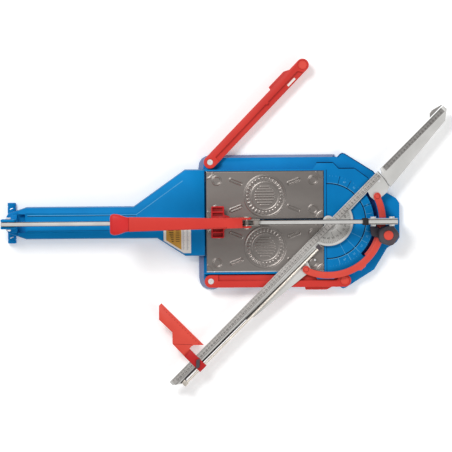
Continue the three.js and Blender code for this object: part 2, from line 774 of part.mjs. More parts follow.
// An arm along +X from its pivot, with its outer side on +Y.
function sideArm() {
  const shape = new THREE.Shape();
  shape.absarc(0, 0, ARM_RADIUS, Math.PI / 2, -Math.PI / 2, false);
  shape.absarc(ARM_LENGTH, 0, ARM_RADIUS, -Math.PI / 2, Math.PI / 2, false);
  shape.closePath();
  const lug = outline([
    [ARM_LENGTH - 108, ARM_RADIUS - 2],
    [ARM_LENGTH - 30, ARM_RADIUS - 2],
    [ARM_LENGTH - 48, ARM_RADIUS + 8],
    [ARM_LENGTH - 106, ARM_RADIUS + 8],
  ]);
  const beam = union(prism(shape, ARM_BOTTOM, DECK_TOP, 8), prism(lug, ARM_BOTTOM, ARM_BOTTOM + 9));
  const stepZ = DECK_TOP - ARM_STEP;
  const bridgeX = 0.6 * ARM_LENGTH;
  const inner = -ARM_RADIUS - 1;
  const stepNear = box(20, bridgeX, inner, -1, stepZ, DECK_TOP + 1);
  const tipCorner = [ARM_LENGTH - 22, -1, 7];
  const stepFar = prism(
    outline([[bridgeX + 9, -1], tipCorner, [ARM_LENGTH - 12, inner], [bridgeX + 9, inner]]),
    stepZ,
    DECK_TOP + 1,
  );
  const slant = box(bridgeX - 1, bridgeX + 10, inner, -4.5, stepZ, DECK_TOP + 1);
  return cut(
    beam,
    stepNear,
    stepFar,
    slant,
    disc(ARM_SCREW_RADIUS + GAP, ARM_BOTTOM - 1, DECK_TOP + 1, 16),
    disc(ARM_SCREW_HEAD + GAP, ARM_SCREW_SEAT, DECK_TOP + 1, 16),
    disc(PAD_RADIUS + GAP, PAD_SEAT, DECK_TOP + 1).translate([ARM_LENGTH, 0, 0]),
  );
}

const ARM_SCREW_HEAD = 8;
const ARM_SCREW_SEAT = DECK_TOP - 4;
const PAD_SEAT = DECK_TOP - 4;

function armScrew() {
  const top = DECK_TOP - 0.6;
  const shank = disc(ARM_SCREW_RADIUS, ARM_SCREW_BOTTOM, ARM_SCREW_SEAT + 1, 16);
  const head = disc(ARM_SCREW_HEAD, ARM_SCREW_SEAT + GAP, top, 16);
  return cut(union(shank, head), disc(3, top - 2, top + 1, 6));
}

function tipPad() {
  const [bottom, top] = [PAD_SEAT + GAP, DECK_TOP + 0.7];
  const pad = turned(
    [[0, bottom], [PAD_RADIUS, bottom], [PAD_RADIUS, top - 1], [PAD_RADIUS - 1.5, top], [0, top]],
  );
  return pad.translate([ARM_LENGTH, 0, 0]);
}

function addArm(side, name, angle) {
  const arm = new THREE.Group();
  arm.position.set(ARM_PIVOT_X, side * ARM_PIVOT_Y, 0);
  arm.rotation.z = THREE.MathUtils.degToRad(angle);
  const hand = (body) => (side > 0 ? body : body.scale([1, -1, 1]));
  piece(arm, `side_arm_${name}`, hand(sideArm()), RED);
  piece(arm, `arm_tip_pad_${name}`, hand(tipPad()), RED);
  cutter.add(arm);
  piece(cutter, `arm_screw_${name}`, armScrew().translate([ARM_PIVOT_X, side * ARM_PIVOT_Y, 0]), CHROME);
}

// ---------------------------------------------------------------- goniometer ruler

const TONGUE_Y = -32;
const TONGUE_Z = (RULER_BOTTOM + RULER_TOP) / 2;

function endArcPoint(offset) {
  return [Math.sqrt(RULER_END_RADIUS ** 2 - offset ** 2), -offset];
}

function rulerBar() {
  const bar = outline([
    [RULER_LEFT, 0],
    [endArcPoint(0)[0] - 4, 0],
    ...[4, 14, 26, 38, 51].map(endArcPoint),
    [167, -58, 5],
    [128, -55],
    [126, -34],
    [131, -20],
    [20, -23],
    [-40, -RULER_WIDTH],
    [RULER_LEFT + 18, -RULER_WIDTH + 3],
    [RULER_LEFT, -11],
  ]);
  const hub = disc(DISC_RADIUS - 3, RULER_BOTTOM, RULER_TOP, 32);
  const southHalf = box(-100, 100, -100, 0, RULER_BOTTOM - 1, RULER_TOP + 1);
  const web = outline([[-110, -20], [-126, -60], [-136, -60], [-197, -53.5], [-325, -39.7], [-362, -20]]);
  const hubCollar = disc(PIN_RADIUS + 7, RULER_BOTTOM, RULER_TOP);
  const body = union(
    prism(bar, RULER_BOTTOM, RULER_TOP),
    hub.intersect(southHalf),
    prism(web, RULER_BOTTOM, WEB_TOP),
    hubCollar,
  );
  const channel = box(
    RULER_LEFT + 20,
    -80,
    -RULER_WIDTH + 3,
    7 - RULER_WIDTH,
    RULER_TOP - 3,
    RULER_TOP + 1,
  );
  const halfTongue = TONGUE_WIDTH / 2 + 0.4;
  const halfSlot = TONGUE_THICKNESS / 2 + 0.3;
  const tongueSlot = box(
    142,
    220,
    TONGUE_Y - halfTongue,
    TONGUE_Y + halfTongue,
    TONGUE_Z - halfSlot,
    TONGUE_Z + halfSlot,
  );
  return cut(body, disc(PIN_RADIUS + GAP, 0, RULER_TOP + 1), channel, tongueSlot);
}

function rulerScale() {
  const far = RULER_END_RADIUS - 6;
  return box(RULER_LEFT + 6, far, -STRIP_WIDTH - 0.8, -0.8, STRIP_BOTTOM, STRIP_TOP);
}

// Half-round protractor on the ruler, with a raised rim and a raised inner ring.
function protractor() {
  const bottom = STRIP_BOTTOM;
  const [face, rim] = [bottom + 2, bottom + 3.6];
  const r = DISC_RADIUS;
  const dish = turned([
    [0, bottom], [r, bottom], [r, rim - 1], [r - 1, rim], [r - 5, rim], [r - 7, face],
    [28, face], [27, rim - 0.6], [24, rim - 0.6], [23, face], [0, face],
  ], 40);
  const half = box(-r - 1, r + 1, -r - 1, -STRIP_WIDTH - 1.6, 0, 100);
  return dish.intersect(half);
}

function guideRod() {
  return barX(ROD_RADIUS, -ROD_OFFSET, ROD_Z, ROD_START, ROD_END, 12);
}

function rodHolder(from, to) {
  const [near, far] = [-RULER_WIDTH - GAP - 0.2, -ROD_OFFSET - ROD_RADIUS - 2.4];
  const side = box(from, to, far, near, WEB_TOP + GAP, ROD_Z + ROD_RADIUS + 1.8);
  const lip = box(from, to, near - 1, near + 5, RULER_TOP + GAP, ROD_Z + ROD_RADIUS + 1.8);
  return cut(union(side, lip), barX(ROD_RADIUS + GAP, -ROD_OFFSET, ROD_Z, from - 1, to + 1, 12));
}

// Arc concentric with the pivot; its ends lie on top of the ruler and the web.
function arcHandle() {
  const seat = RULER_TOP + GAP;
  const [east, west] = bossPlaces;
  const whole = prism(sector(ARC_INNER, ARC_OUTER, -ARC_TO, -ARC_FROM), ARC_BOTTOM, ARC_TOP, 24);
  const eastRelief = box(110, 200, -60, 0, ARC_BOTTOM - 1, seat);
  const westRelief = box(-170, -120, -90, -30, ARC_BOTTOM - 1, seat);
  const flange = prism(sector(ARC_INNER - 5, ARC_INNER + 1, -88, -45), ARC_BOTTOM, ARC_BOTTOM + 4, 8);
  const boss = union(disc(BOSS_RADIUS, seat, ARC_TOP), disc(BOSS_RADIUS - 3, seat, ARC_TOP + 0.5));
  const lobe = outline([[-38, -150], [-11, -152], [-15, -157.5, 4], [-33, -156, 4]]);
  return union(
    cut(whole, eastRelief, westRelief),
    flange,
    boss.translate([...east, 0]),
    boss.translate([...west, 0]),
    prism(lobe, seat, ARC_TOP),
  );
}

const bossPlaces = [[140, -46.5], [-135, -ROD_OFFSET - BOSS_FROM_ROD]];
const ARC_TO = 180 - THREE.MathUtils.radToDeg(Math.atan2(-bossPlaces[1][1], -bossPlaces[1][0]));

function extensionRuler() {
  const start = RULER_END_RADIUS + 0.8;
  const arcPoint = (offset) => [Math.sqrt(start ** 2 - offset ** 2), -offset];
  const blade = outline([
    [199, 0],
    [EXTENSION_END, -2],
    [EXTENSION_END + 1, -14.6],
    [413, -33.8],
    arcPoint(55),
    arcPoint(45),
    arcPoint(35),
    arcPoint(25),
    arcPoint(14),
  ]);
  const half = TONGUE_WIDTH / 2;
  const tongueBottom = TONGUE_Z - TONGUE_THICKNESS / 2;
  const tongue = box(
    150,
    200,
    TONGUE_Y - half,
    TONGUE_Y + half,
    tongueBottom,
    tongueBottom + TONGUE_THICKNESS,
  );
  const bevel = prism(
    outline([[205, 1], [EXTENSION_END - 4, 1], [EXTENSION_END - 4, -16], [202, -16]]),
    RULER_TOP - 1.5,
    RULER_TOP + 1,
  );
  return cut(union(prism(blade, RULER_BOTTOM, RULER_TOP), tongue), bevel);
}

function endHook() {
  const shape = outline([[390, 1], [EXTENSION_END - 1, 1], [EXTENSION_END - 1, 3], [408, 11, 3], [398, 9]]);
  return prism(shape, RULER_BOTTOM, RULER_BOTTOM + 3);
}

// ---------------------------------------------------------------- sliding square

function squareStop() {
  const blade = outline([
    [SQUARE_EDGE, SQUARE_REACH],
    [SQUARE_EDGE, 4.5],
    [SQUARE_EDGE - 19, 23.5],
    [SQUARE_EDGE - 26, 26, 3],
    [STEM_RIGHT, 25],
    [STEM_RIGHT, 21],
    [STEM_LEFT, 21],
    [STEM_LEFT + 1.5, 67],
    [SQUARE_EDGE - 35, 89.5],
    [SQUARE_EDGE - 36, 139],
    [SQUARE_EDGE - 9, SQUARE_REACH],
  ]);
  const tab = box(STEM_LEFT, STEM_RIGHT, 4, 22, RULER_BOTTOM + 0.4, SQUARE_TOP - 3);
  const edge = box(SQUARE_EDGE - 5, SQUARE_EDGE + 1, 3, SQUARE_REACH + 1, SQUARE_TOP - 2, SQUARE_TOP + 1);
  return cut(union(prism(blade, RULER_BOTTOM + 0.4, SQUARE_TOP), tab), edge);
}

function squareSlider() {
  const stemTop = box(STEM_LEFT, STEM_RIGHT, 0.6, 20.6, SQUARE_TOP - 3 + GAP, SLIDER_TOP);
  const bridge = box(STEM_LEFT, STEM_RIGHT, -RULER_WIDTH - 1, 1.6, STRIP_TOP + 0.4, SLIDER_TOP);
  const far = -ROD_OFFSET - ROD_RADIUS - 2.6;
  const sleeve = box(STEM_LEFT, STEM_RIGHT, far, -RULER_WIDTH - GAP, WEB_TOP + 1, SLIDER_TOP);
  const pinHole = disc(LEVER_PIN + GAP, STRIP_TOP, SLIDER_TOP + 1, 12).translate([...leverPlace, 0]);
  const bore = barX(ROD_RADIUS + GAP, -ROD_OFFSET, ROD_Z, STEM_LEFT - 1, STEM_RIGHT + 1, 12);
  return cut(union(stemTop, bridge, sleeve), bore, pinHole);
}

const LEVER_PIN = 2.5;
const leverPlace = [(STEM_LEFT + STEM_RIGHT) / 2, -19];

function squareLever() {
  const blade = outline([[-14.5, 4, 3], [9, 5.5, 2], [14.5, -4, 3], [-9, -5.5, 2]]);
  const bottom = SLIDER_TOP + GAP;
  const pin = disc(LEVER_PIN, STRIP_TOP + 1, bottom + 1, 12);
  return union(prism(blade, bottom, bottom + 4).rotate([0, 0, 38]), pin);
}

// ---------------------------------------------------------------- carriage and handle

const rollerPlaces = [
  ['front', 24, 1],
  ['rear', -44, 1],
  ['lower', -24, -1],
];

function rollerZ(side) {
  const edge = side > 0 ? RAIL_TOP + GAP : RAIL_BOTTOM - GAP;
  return edge + side * ROLLER_RADIUS - PIVOT_Z;
}

function carriageBody() {
  const [bottom, top] = [WHEEL_BOTTOM + 12.5 - PIVOT_Z, 4];
  const profile = [
    [CHEEK_WEST, bottom + 40],
    [CHEEK_WEST + 18, bottom],
    [CHEEK_EAST - 14, bottom],
    [CHEEK_EAST, bottom + 22],
    [CHEEK_EAST, top - 10],
    [CHEEK_EAST - 10, top],
    [CHEEK_WEST + 4, top],
    [CHEEK_WEST, top - 8],
  ];
  const cheek = across(profile, CHEEK_INNER, CHEEK_OUTER);
  const bridge = box(-28, -14, -CHEEK_OUTER, CHEEK_OUTER, RAIL_TOP + 5 - PIVOT_Z, top);
  const holes = rollerPlaces.map(([, x, side]) => barY(AXLE_RADIUS + GAP, x, rollerZ(side), -20, 20, 12));
  return cut(
    union(cheek, cheek.scale([1, -1, 1]), bridge),
    barY(BOLT_RADIUS + GAP, 0, 0, -20, 20),
    ...holes,
  );
}

// Plain roller about its own axle, along Y.
function guideRoller() {
  const half = RAIL_HALF - 0.1;
  const [r, bore] = [ROLLER_RADIUS, AXLE_RADIUS + 0.05];
  const body = turned([[bore, -half], [r, -half], [r, half], [bore, half], [bore, -half]], 20);
  return body.rotate([-90, 0, 0]);
}

function rollerAxle() {
  const half = CHEEK_OUTER - 0.1;
  return barY(AXLE_RADIUS, 0, 0, -half, half, 12);
}

function returnSpring() {
  const turns = 4;
  const step = (2 * RAIL_HALF - 1) / turns;
  const [inner, outer] = [BOLT_RADIUS + 0.8, BOLT_RADIUS + 3];
  const profile = [[inner, 0]];
  for (let i = 0; i < turns; i += 1) {
    profile.push([outer - 0.8, i * step], [outer, (i + 0.5) * step], [outer - 0.8, (i + 0.98) * step]);
  }
  profile.push([inner, turns * step], [inner, 0]);
  return turned(profile, 12).translate([0, 0, -turns * step / 2]).rotate([-90, 0, 0]);
}

function handleBolt() {
  const reach = PRONG_OUTER;
  const shank = barY(BOLT_RADIUS, 0, 0, -reach - 1, reach + 1);
  return union(
    shank,
    barY(7, 0, 0, reach + GAP, reach + 3.5, 6),
    barY(7, 0, 0, -reach - 3.5, -reach - GAP, 6),
  );
}

const HUB = { west: -84, east: -60, top: FOOT_BOTTOM + 14 - PIVOT_Z, pinX: -72, pinRadius: 2.5 };
const PRONG_BOTTOM = FOOT_BOTTOM + FOOT_THICKNESS + GAP - PIVOT_Z;
const CROSS_TOP = WHEEL_BOTTOM + 8 - PIVOT_Z;

// Handle: a shaft over the rail and two prongs that reach down to the breaker foot.
function handleLever() {
  const prong = across([
    [-70, 30],
    [-34, 32],
    [-10, 12],
    [10, 8],
    [14, -20],
    [12, CROSS_TOP + GAP],
    [-14, CROSS_TOP + GAP],
    [-42, -56],
    [HUB.east, PRONG_BOTTOM],
    [HUB.west, PRONG_BOTTOM],
    [HUB.west, PRONG_BOTTOM + 10],
    [-56, -44],
    [-42, -8],
    [-58, 12],
  ], PRONG_INNER, PRONG_OUTER);
  const under = 14;
  const rise = SHAFT_RISE * (-SHAFT_END - 60);
  const side = across([
    [SHAFT_START - 4, under + 4],
    [SHAFT_START - 2, under + 10],
    [SHAFT_START - 22, under + SHAFT_THICKNESS + 1, 14],
    [SHAFT_END, under + rise + SHAFT_THICKNESS],
    [SHAFT_END, under + rise],
    [-62, under + 1],
  ], -40, 40);
  const [narrow, wide] = [PRONG_OUTER, 19];
  const plan = outline(
    [
      [-10, narrow],
      [-60, narrow + 0.6],
      [SHAFT_END, wide],
      [SHAFT_END, -wide],
      [-60, -narrow - 0.6],
      [-10, -narrow],
    ],
  );
  const shaft = side.intersect(tapered(plan, -40, 90, 1, 1));
  const tangZ = under + rise + SHAFT_THICKNESS / 2;
  const tang = box(SHAFT_END - 30, SHAFT_END + 1, -8, 8, tangZ - 3, tangZ + 3);
  const bolt = barY(BOLT_RADIUS + GAP, 0, 0, -30, 30);
  const pin = barY(HUB.pinRadius + GAP, HUB.pinX, FOOT_PIN_Z, -30, 30, 12);
  return cut(union(shaft, prong, prong.scale([1, -1, 1]), tang), bolt, pin, shaftBevels(under, rise));
}

// The two long chamfers along the shaft's top edges.
function shaftBevels(under, rise) {
  const length = -SHAFT_END - 40;
  const tilt = THREE.MathUtils.radToDeg(Math.atan(SHAFT_RISE));
  const taper = THREE.MathUtils.radToDeg(Math.atan(6 / length));
  const wedge = box(-length, 4, -6, 6, -6, 6).rotate([45, 0, 0]).rotate([0, tilt, 0]).rotate(
    [0, 0, -taper],
  );
  const topAt = under + SHAFT_THICKNESS + 1.6;
  const north = wedge.translate([-56, PRONG_OUTER + 4.6, topAt + 1.5]);
  return union(north, north.scale([1, -1, 1]));
}

const FOOT_PIN_Z = FOOT_BOTTOM + 10.2 - PIVOT_Z;

function handleGrip() {
  const rise = SHAFT_RISE * (-SHAFT_END - 60);
  const middle = 14 + rise + SHAFT_THICKNESS / 2;
  const [from, to] = [SHAFT_END - GAP, SHAFT_END - GRIP_LENGTH];
  const half = GRIP_WIDTH / 2;
  const shape = outline(
    [
      [from, 19],
      [from - 12, half - 1, 12],
      [to, half, 20],
      [to, -half, 20],
      [from - 12, 1 - half, 12],
      [from, -19],
    ],
  );
  const paddle = tapered(shape, middle - 13, middle + 12, 7, 6, 8);
  return cut(
    paddle,
    box(SHAFT_END - 30 - GAP, SHAFT_END + 1, -8 - GAP, 8 + GAP, middle - 3 - GAP, middle + 3 + GAP),
  );
}

function breakerFoot() {
  const [bottom, top] = [FOOT_BOTTOM - PIVOT_Z, FOOT_BOTTOM + FOOT_THICKNESS - PIVOT_Z];
  const wing = FOOT_HALF_WIDTH;
  const plan = mirrored([[-94, wing, 4], [-59, wing, 4], [-59, 20, 4], [-44, 15], [-44, 10], [-57, 10]]);
  const blank = prism(plan, bottom, top);
  const pocket = (x0, x1, y0, y1) => box(x0, x1, y0, y1, top - 4.5, top + 1);
  const hollows = [1, -1].flatMap((side) => {
    const outer = pocket(-90, -63, 29, 39);
    const inner = pocket(-90, -63, 16, 25);
    return side > 0 ? [outer, inner] : [outer.scale([1, -1, 1]), inner.scale([1, -1, 1])];
  });
  const hub = box(HUB.west, HUB.east, -CHEEK_OUTER, CHEEK_OUTER, top - 1, HUB.top);
  return cut(
    union(cut(blank, ...hollows), hub),
    barY(HUB.pinRadius + GAP, HUB.pinX, FOOT_PIN_Z, -30, 30, 12),
  );
}

function footPin() {
  return barY(HUB.pinRadius, HUB.pinX, FOOT_PIN_Z, -PRONG_OUTER, PRONG_OUTER, 12);
}

const WHEEL_Z = WHEEL_BOTTOM + WHEEL_RADIUS - PIVOT_Z;

function wheelHolder() {
  const crossBottom = WHEEL_BOTTOM - PIVOT_Z;
  const cross = box(-12, 10, -PRONG_OUTER, PRONG_OUTER, crossBottom, CROSS_TOP);
  const side = across([
    [0, crossBottom],
    [WHEEL_X - 8, crossBottom + 1],
    [WHEEL_X + 6, WHEEL_Z - 5, 3],
    [WHEEL_X + 5, WHEEL_Z + 5, 3],
    [WHEEL_X - 6, WHEEL_Z + 5, 3],
    [WHEEL_X - 16, crossBottom + 7],
    [0, crossBottom + 7],
  ], WHEEL_THICKNESS / 2 + 0.4, RAIL_HALF - 0.5);
  const axle = barY(AXLE_RADIUS - 0.1, WHEEL_X, WHEEL_Z, -RAIL_HALF, RAIL_HALF, 12);
  return union(cross, side, side.scale([1, -1, 1]), axle);
}

function scoringWheel() {
  const [half, r, bore] = [WHEEL_THICKNESS / 2, WHEEL_RADIUS, AXLE_RADIUS];
  const profile = [[bore, -half], [r - 3, -half], [r, 0], [r - 3, half], [bore, half], [bore, -half]];
  return turned(profile, 24).rotate([-90, 0, 0]);
}

// ---------------------------------------------------------------- assembly

piece(cutter, 'base_casting', baseCasting(), BLUE);
piece(cutter, 'tail_casting', tailCasting(), BLUE);
piece(cutter, 'joint_plate', jointPlate(), STEEL);
piece(cutter, 'foot_crossbar', footCrossbar(), BLUE);
for (const [corner, place] of Object.entries(footPlaces)) {
  piece(cutter, `rubber_foot_${corner}`, rubberFoot().translate([...place, 0]), RUBBER);
}
piece(cutter, 'centre_foot', disc(18, 0, CASTING_BOTTOM - GAP), RUBBER);
piece(cutter, 'rail', rail(), STEEL);
piece(cutter, 'rail_front_bracket', frontBracket(), BLUE);
piece(cutter, 'rail_front_bolt', throughBolt(CROSSBAR_X, RAIL_BOLT_Z, FRONT_CHEEK, 7), CHROME);
piece(cutter, 'rail_rear_bracket', rearBracket(), BLUE);
piece(cutter, 'rail_end_channel', railEndChannel(), STEEL);
REAR_BOLTS.forEach((x, i) => {
  piece(
    cutter,
    `rail_rear_bolt_${i + 1}`,
    throughBolt(x, RAIL_BOLT_Z, RAIL_HALF + GAP + CHANNEL_WALL, 8),
    CHROME,
  );
});
piece(cutter, 'rail_bumper', railBumper(), RUBBER);
piece(cutter, 'breaking_bar', breakingBar(), STEEL);
piece(cutter, 'plate_north', plate(), PLATE_STEEL);
piece(cutter, 'plate_south', plate().scale([1, -1, 1]), PLATE_STEEL);
piece(cutter, 'plate_spring_north', plateSpring(), STEEL);
piece(cutter, 'plate_spring_south', plateSpring().scale([1, -1, 1]), STEEL);
piece(cutter, 'pivot_pin', disc(PIN_RADIUS, PIN_BOTTOM, RULER_TOP - 0.5), CHROME);
piece(
  cutter,
  'clamp_stud',
  disc(STUD_RADIUS, STUD_BOTTOM, STUD_TOP, 16).translate([CLAMP_X, CLAMP_Y, 0]),
  STEEL,
);
piece(cutter, 'clamp_plate', clampPlate(), BLACK);
addArm(1, 'north', ARM_OPEN);
addArm(-1, 'south', 0);

const clamp = new THREE.Group();
clamp.position.set(CLAMP_X, CLAMP_Y, 0);
piece(clamp, 'clamp_knob', clampKnob(), BLACK);
piece(clamp, 'knob_cap', knobCap(), RED);
cutter.add(clamp);

const goniometer = new THREE.Group();
goniometer.rotation.z = THREE.MathUtils.degToRad(RULER_ANGLE);
piece(goniometer, 'ruler_bar', rulerBar(), ALUMINIUM);
piece(goniometer, 'ruler_scale', rulerScale(), ALUMINIUM);
piece(goniometer, 'protractor', protractor(), ALUMINIUM);
piece(goniometer, 'guide_rod', guideRod(), CHROME);
piece(goniometer, 'rod_holder_front', rodHolder(ROD_END - 12, ROD_END - 1), BLACK);
piece(goniometer, 'rod_holder_rear', rodHolder(ROD_START + 1, ROD_START + 13), CHROME);
piece(goniometer, 'arc_handle', arcHandle(), RED);
piece(goniometer, 'extension_ruler', extensionRuler(), ALUMINIUM);
piece(goniometer, 'end_hook', endHook(), ALUMINIUM);
piece(goniometer, 'square_stop', squareStop(), RED);
piece(goniometer, 'square_slider', squareSlider(), DARK_RED);
const lever = piece(goniometer, 'square_lever', squareLever(), BLACK);
lever.position.set(...leverPlace, 0);
cutter.add(goniometer);

const carriage = new THREE.Group();
carriage.position.set(PIVOT_X, 0, PIVOT_Z);
piece(carriage, 'carriage_body', carriageBody(), STEEL);
piece(carriage, 'return_spring', returnSpring(), STEEL);
piece(carriage, 'handle_bolt', handleBolt(), CHROME);
for (const [name, x, side] of rollerPlaces) {
  for (const [kind, body] of [['roller', guideRoller()], ['axle', rollerAxle()]]) {
    piece(carriage, `${kind}_${name}`, body, STEEL).position.set(x, 0, rollerZ(side));
  }
}
piece(carriage, 'handle_lever', handleLever(), RED);
piece(carriage, 'handle_grip', handleGrip(), DARK_RED);
piece(carriage, 'breaker_foot', breakerFoot(), RED);
piece(carriage, 'foot_pin', footPin(), STEEL);
piece(carriage, 'wheel_holder', wheelHolder(), STEEL);
const wheel = piece(carriage, 'scoring_wheel', scoringWheel(), CHROME);
wheel.position.set(WHEEL_X, 0, WHEEL_Z);
cutter.add(carriage);

export default cutter;
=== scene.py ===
# %% [markdown]
# # A manual tile cutter
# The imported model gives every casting, rail and lever its true size and place. This file gives them
# their looks: eased edges, embossed steel plates, printed scales, paint, plastic and brushed metal.
# Everything is in metres. +X runs along the rail, +Z is up, and the origin is under the ruler's pivot.

# %% Load the frame
import json
import math

import bmesh
import bpy
from mathutils import Matrix, Vector

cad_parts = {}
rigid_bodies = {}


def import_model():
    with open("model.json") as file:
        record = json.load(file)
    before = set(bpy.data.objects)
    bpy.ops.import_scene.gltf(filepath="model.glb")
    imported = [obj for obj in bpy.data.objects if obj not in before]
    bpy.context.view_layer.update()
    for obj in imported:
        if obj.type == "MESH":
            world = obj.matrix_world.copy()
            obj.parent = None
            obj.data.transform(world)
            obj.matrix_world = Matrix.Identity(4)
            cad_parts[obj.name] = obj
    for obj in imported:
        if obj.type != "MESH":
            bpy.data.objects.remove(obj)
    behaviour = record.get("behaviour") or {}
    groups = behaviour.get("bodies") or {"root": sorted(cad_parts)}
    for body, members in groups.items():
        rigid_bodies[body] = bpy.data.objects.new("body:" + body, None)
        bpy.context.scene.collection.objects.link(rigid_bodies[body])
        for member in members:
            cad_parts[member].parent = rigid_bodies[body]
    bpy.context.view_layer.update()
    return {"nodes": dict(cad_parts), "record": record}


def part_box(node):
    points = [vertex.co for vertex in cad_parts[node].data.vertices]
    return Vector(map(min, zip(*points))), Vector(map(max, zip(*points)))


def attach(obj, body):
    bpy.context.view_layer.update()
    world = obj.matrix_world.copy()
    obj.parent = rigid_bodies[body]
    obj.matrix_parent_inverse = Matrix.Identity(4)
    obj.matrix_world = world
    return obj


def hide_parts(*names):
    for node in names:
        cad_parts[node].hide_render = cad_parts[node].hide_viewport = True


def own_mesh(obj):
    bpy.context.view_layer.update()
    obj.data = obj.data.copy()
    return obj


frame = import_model()
MM = 0.001
joints = {joint["name"]: joint for joint in frame["record"]["behaviour"]["joints"]}

# %% [markdown]
# ## Places that the frame gives
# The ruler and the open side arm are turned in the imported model. Each has a frame of its own here,
# a matrix that takes sizes in millimetres from the piece's own axes to its place on the cutter.
# They could be typed as numbers, but reading the joints keeps them right when a size changes.

# %% Matrices for the turned pieces
RULER_ANGLE = math.radians(45)
ARM_ANGLE = math.radians(46)


def placed(joint_name, angle, flip=1):
    """From millimetres in the piece's own frame to metres on the cutter."""
    x, y, _ = joints[joint_name]["pos_m"]
    turn = Matrix.Rotation(angle, 4, "Z")
    return Matrix.Translation((x, y, 0)) @ turn @ Matrix.Diagonal((MM, flip * MM, MM, 1))


bench = Matrix.Diagonal((MM, MM, MM, 1))
ruler_frame = placed("goniometer_swing", RULER_ANGLE)
arm_north_frame = placed("arm_north_swing", ARM_ANGLE)
arm_south_frame = placed("arm_south_swing", 0, flip=-1)
knob_frame = placed("clamp_turn", 0)


def top_of(node):
    """Highest point of a CAD node, in millimetres."""
    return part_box(node)[1][2] / MM


deck_top = top_of("base_casting")
strip_top = top_of("ruler_scale")
ruler_top = top_of("ruler_bar")
print("deck at", round(deck_top, 1), "mm, ruler at", round(ruler_top, 1), "mm")

# %% [markdown]
# ## Materials
# Paint, plastic and metal all start from the Principled shader. Real surfaces are never one colour, so
# a broad noise shifts the colour, a second one the roughness, and a fine one gives the bump. An image
# could do the same, but noise needs no file and reads the piece's own place, so it never slides.


# %% A finish with grain, made of noise
def linear(red, green, blue):
    """A colour given as 0 to 255 on a screen, as the shader wants it."""
    def channel(value):
        value /= 255
        return value / 12.92 if value <= 0.04045 else ((value + 0.055) / 1.055) ** 2.4

    return (channel(red), channel(green), channel(blue), 1)


def add(nodes, kind, **inputs):
    node = nodes.new("ShaderNode" + kind)
    for name, value in inputs.items():
        node.inputs[name.replace("_", " ")].default_value = value
    return node


def noise(tree, coordinates, scale, detail=3.0, stretch=(1, 1, 1)):
    """Noise on the piece's own coordinates, stretched along some of its axes."""
    mapping = add(tree.nodes, "Mapping", Scale=stretch)
    tree.links.new(coordinates, mapping.inputs["Vector"])
    texture = add(tree.nodes, "TexNoise", Scale=scale, Detail=detail)
    tree.links.new(mapping.outputs["Vector"], texture.inputs["Vector"])
    return texture.outputs["Fac"]


def spread(tree, value, low, high, from_low=0.3, from_high=0.7):
    """Maps the middle of a noise onto a range."""
    ramp = add(tree.nodes, "MapRange")
    for place, number in zip((1, 2, 3, 4), (from_low, from_high, low, high)):
        ramp.inputs[place].default_value = number
    tree.links.new(value, ramp.inputs[0])
    return ramp.outputs[0]


def mix(tree, factor, first, second, blend="MIX"):
    node = tree.nodes.new("ShaderNodeMix")
    node.data_type = "RGBA"
    node.blend_type = blend
    sockets = (node.inputs["Factor"], node.inputs[6], node.inputs[7])
    for socket, value in zip(sockets, (factor, first, second)):
        if isinstance(value, (int, float, tuple)):
            socket.default_value = value
        else:
            tree.links.new(value, socket)
    return node.outputs[2]


def finish(name, light, dark, roughness, metallic=0.0, broad=9, fine=900, bump=0.02,
           stretch=(1, 1, 1), coat=0.0, specular=0.5):
    """A surface between two colours, with a range of roughness and a fine bump."""
    made = bpy.data.materials.new(name)
    made.use_nodes = True
    tree = made.node_tree
    shader = tree.nodes["Principled BSDF"]
    shader.inputs["Metallic"].default_value = metallic
    shader.inputs["Coat Weight"].default_value = coat
    shader.inputs["Coat Roughness"].default_value = 0.15
    shader.inputs["Specular IOR Level"].default_value = specular
    place = add(tree.nodes, "TexCoord").outputs["Object"]
    patches = noise(tree, place, broad, 4, stretch)
    grain = noise(tree, place, fine, 2, stretch)
    colour = mix(tree, spread(tree, patches, 0, 1), linear(*light), linear(*dark))
    speckle = mix(tree, spread(tree, grain, 0, 0.5), colour, linear(*dark))
    tree.links.new(speckle, shader.inputs["Base Color"])
    tree.links.new(spread(tree, grain, *roughness), shader.inputs["Roughness"])
    relief = add(tree.nodes, "Bump", Strength=bump * 10, Distance=0.0002)
    tree.links.new(grain, relief.inputs["Height"])
    tree.links.new(relief.outputs["Normal"], shader.inputs["Normal"])
    return made


blue_paint = finish("blue_enamel", (5, 136, 204), (2, 116, 180), (0.46, 0.58),
                    0.1, 7, 1400, specular=0.08)
# A painted reflection of the bright room on the sloping skirt of the body.
painted_skirt_reflection = finish("skirt_painted_reflection_blue", (138, 150, 180), (112, 126, 164), (0.3, 0.4),
                    0.2, 9, 1400, specular=0.3)
# Painted shade for the low floors of the body, such as the recess in which the arc handle runs.
recess_painted_shade = finish("recess_painted_shade", (20, 60, 126), (14, 46, 104), (0.5, 0.62),
                     0.1, 12, 900, specular=0.2)
# Painted highlight for the cast figures and ticks on the deck and for the upper edge of the tail's crease.
painted_pale_highlight = finish("pale_painted_highlight_blue", (116, 190, 228), (96, 172, 214), (0.5, 0.6),
                   0, 30, 900, specular=0.2)
painted_groove_shadow = finish("groove_shadow", (3, 34, 70), (2, 28, 60), (0.6, 0.7),
                     0, 30, 900, specular=0.1)
red_paint = finish("red_enamel", (214, 62, 52), (198, 50, 43), (0.42, 0.54),
                   0, 8, 1200, specular=0.2)
deep_red = finish("grip_red", (214, 40, 40), (194, 31, 32), (0.42, 0.56),
                  0, 14, 1500, 0.05, specular=0.3)
foot_red = finish("foot_red", (216, 34, 38), (186, 20, 26), (0.36, 0.5),
                  0, 30, 1200, 0.04, specular=0.35)
bright_red = finish("moulded_red", (226, 82, 66), (212, 68, 55), (0.36, 0.5),
                    0, 14, 1100, specular=0.3)
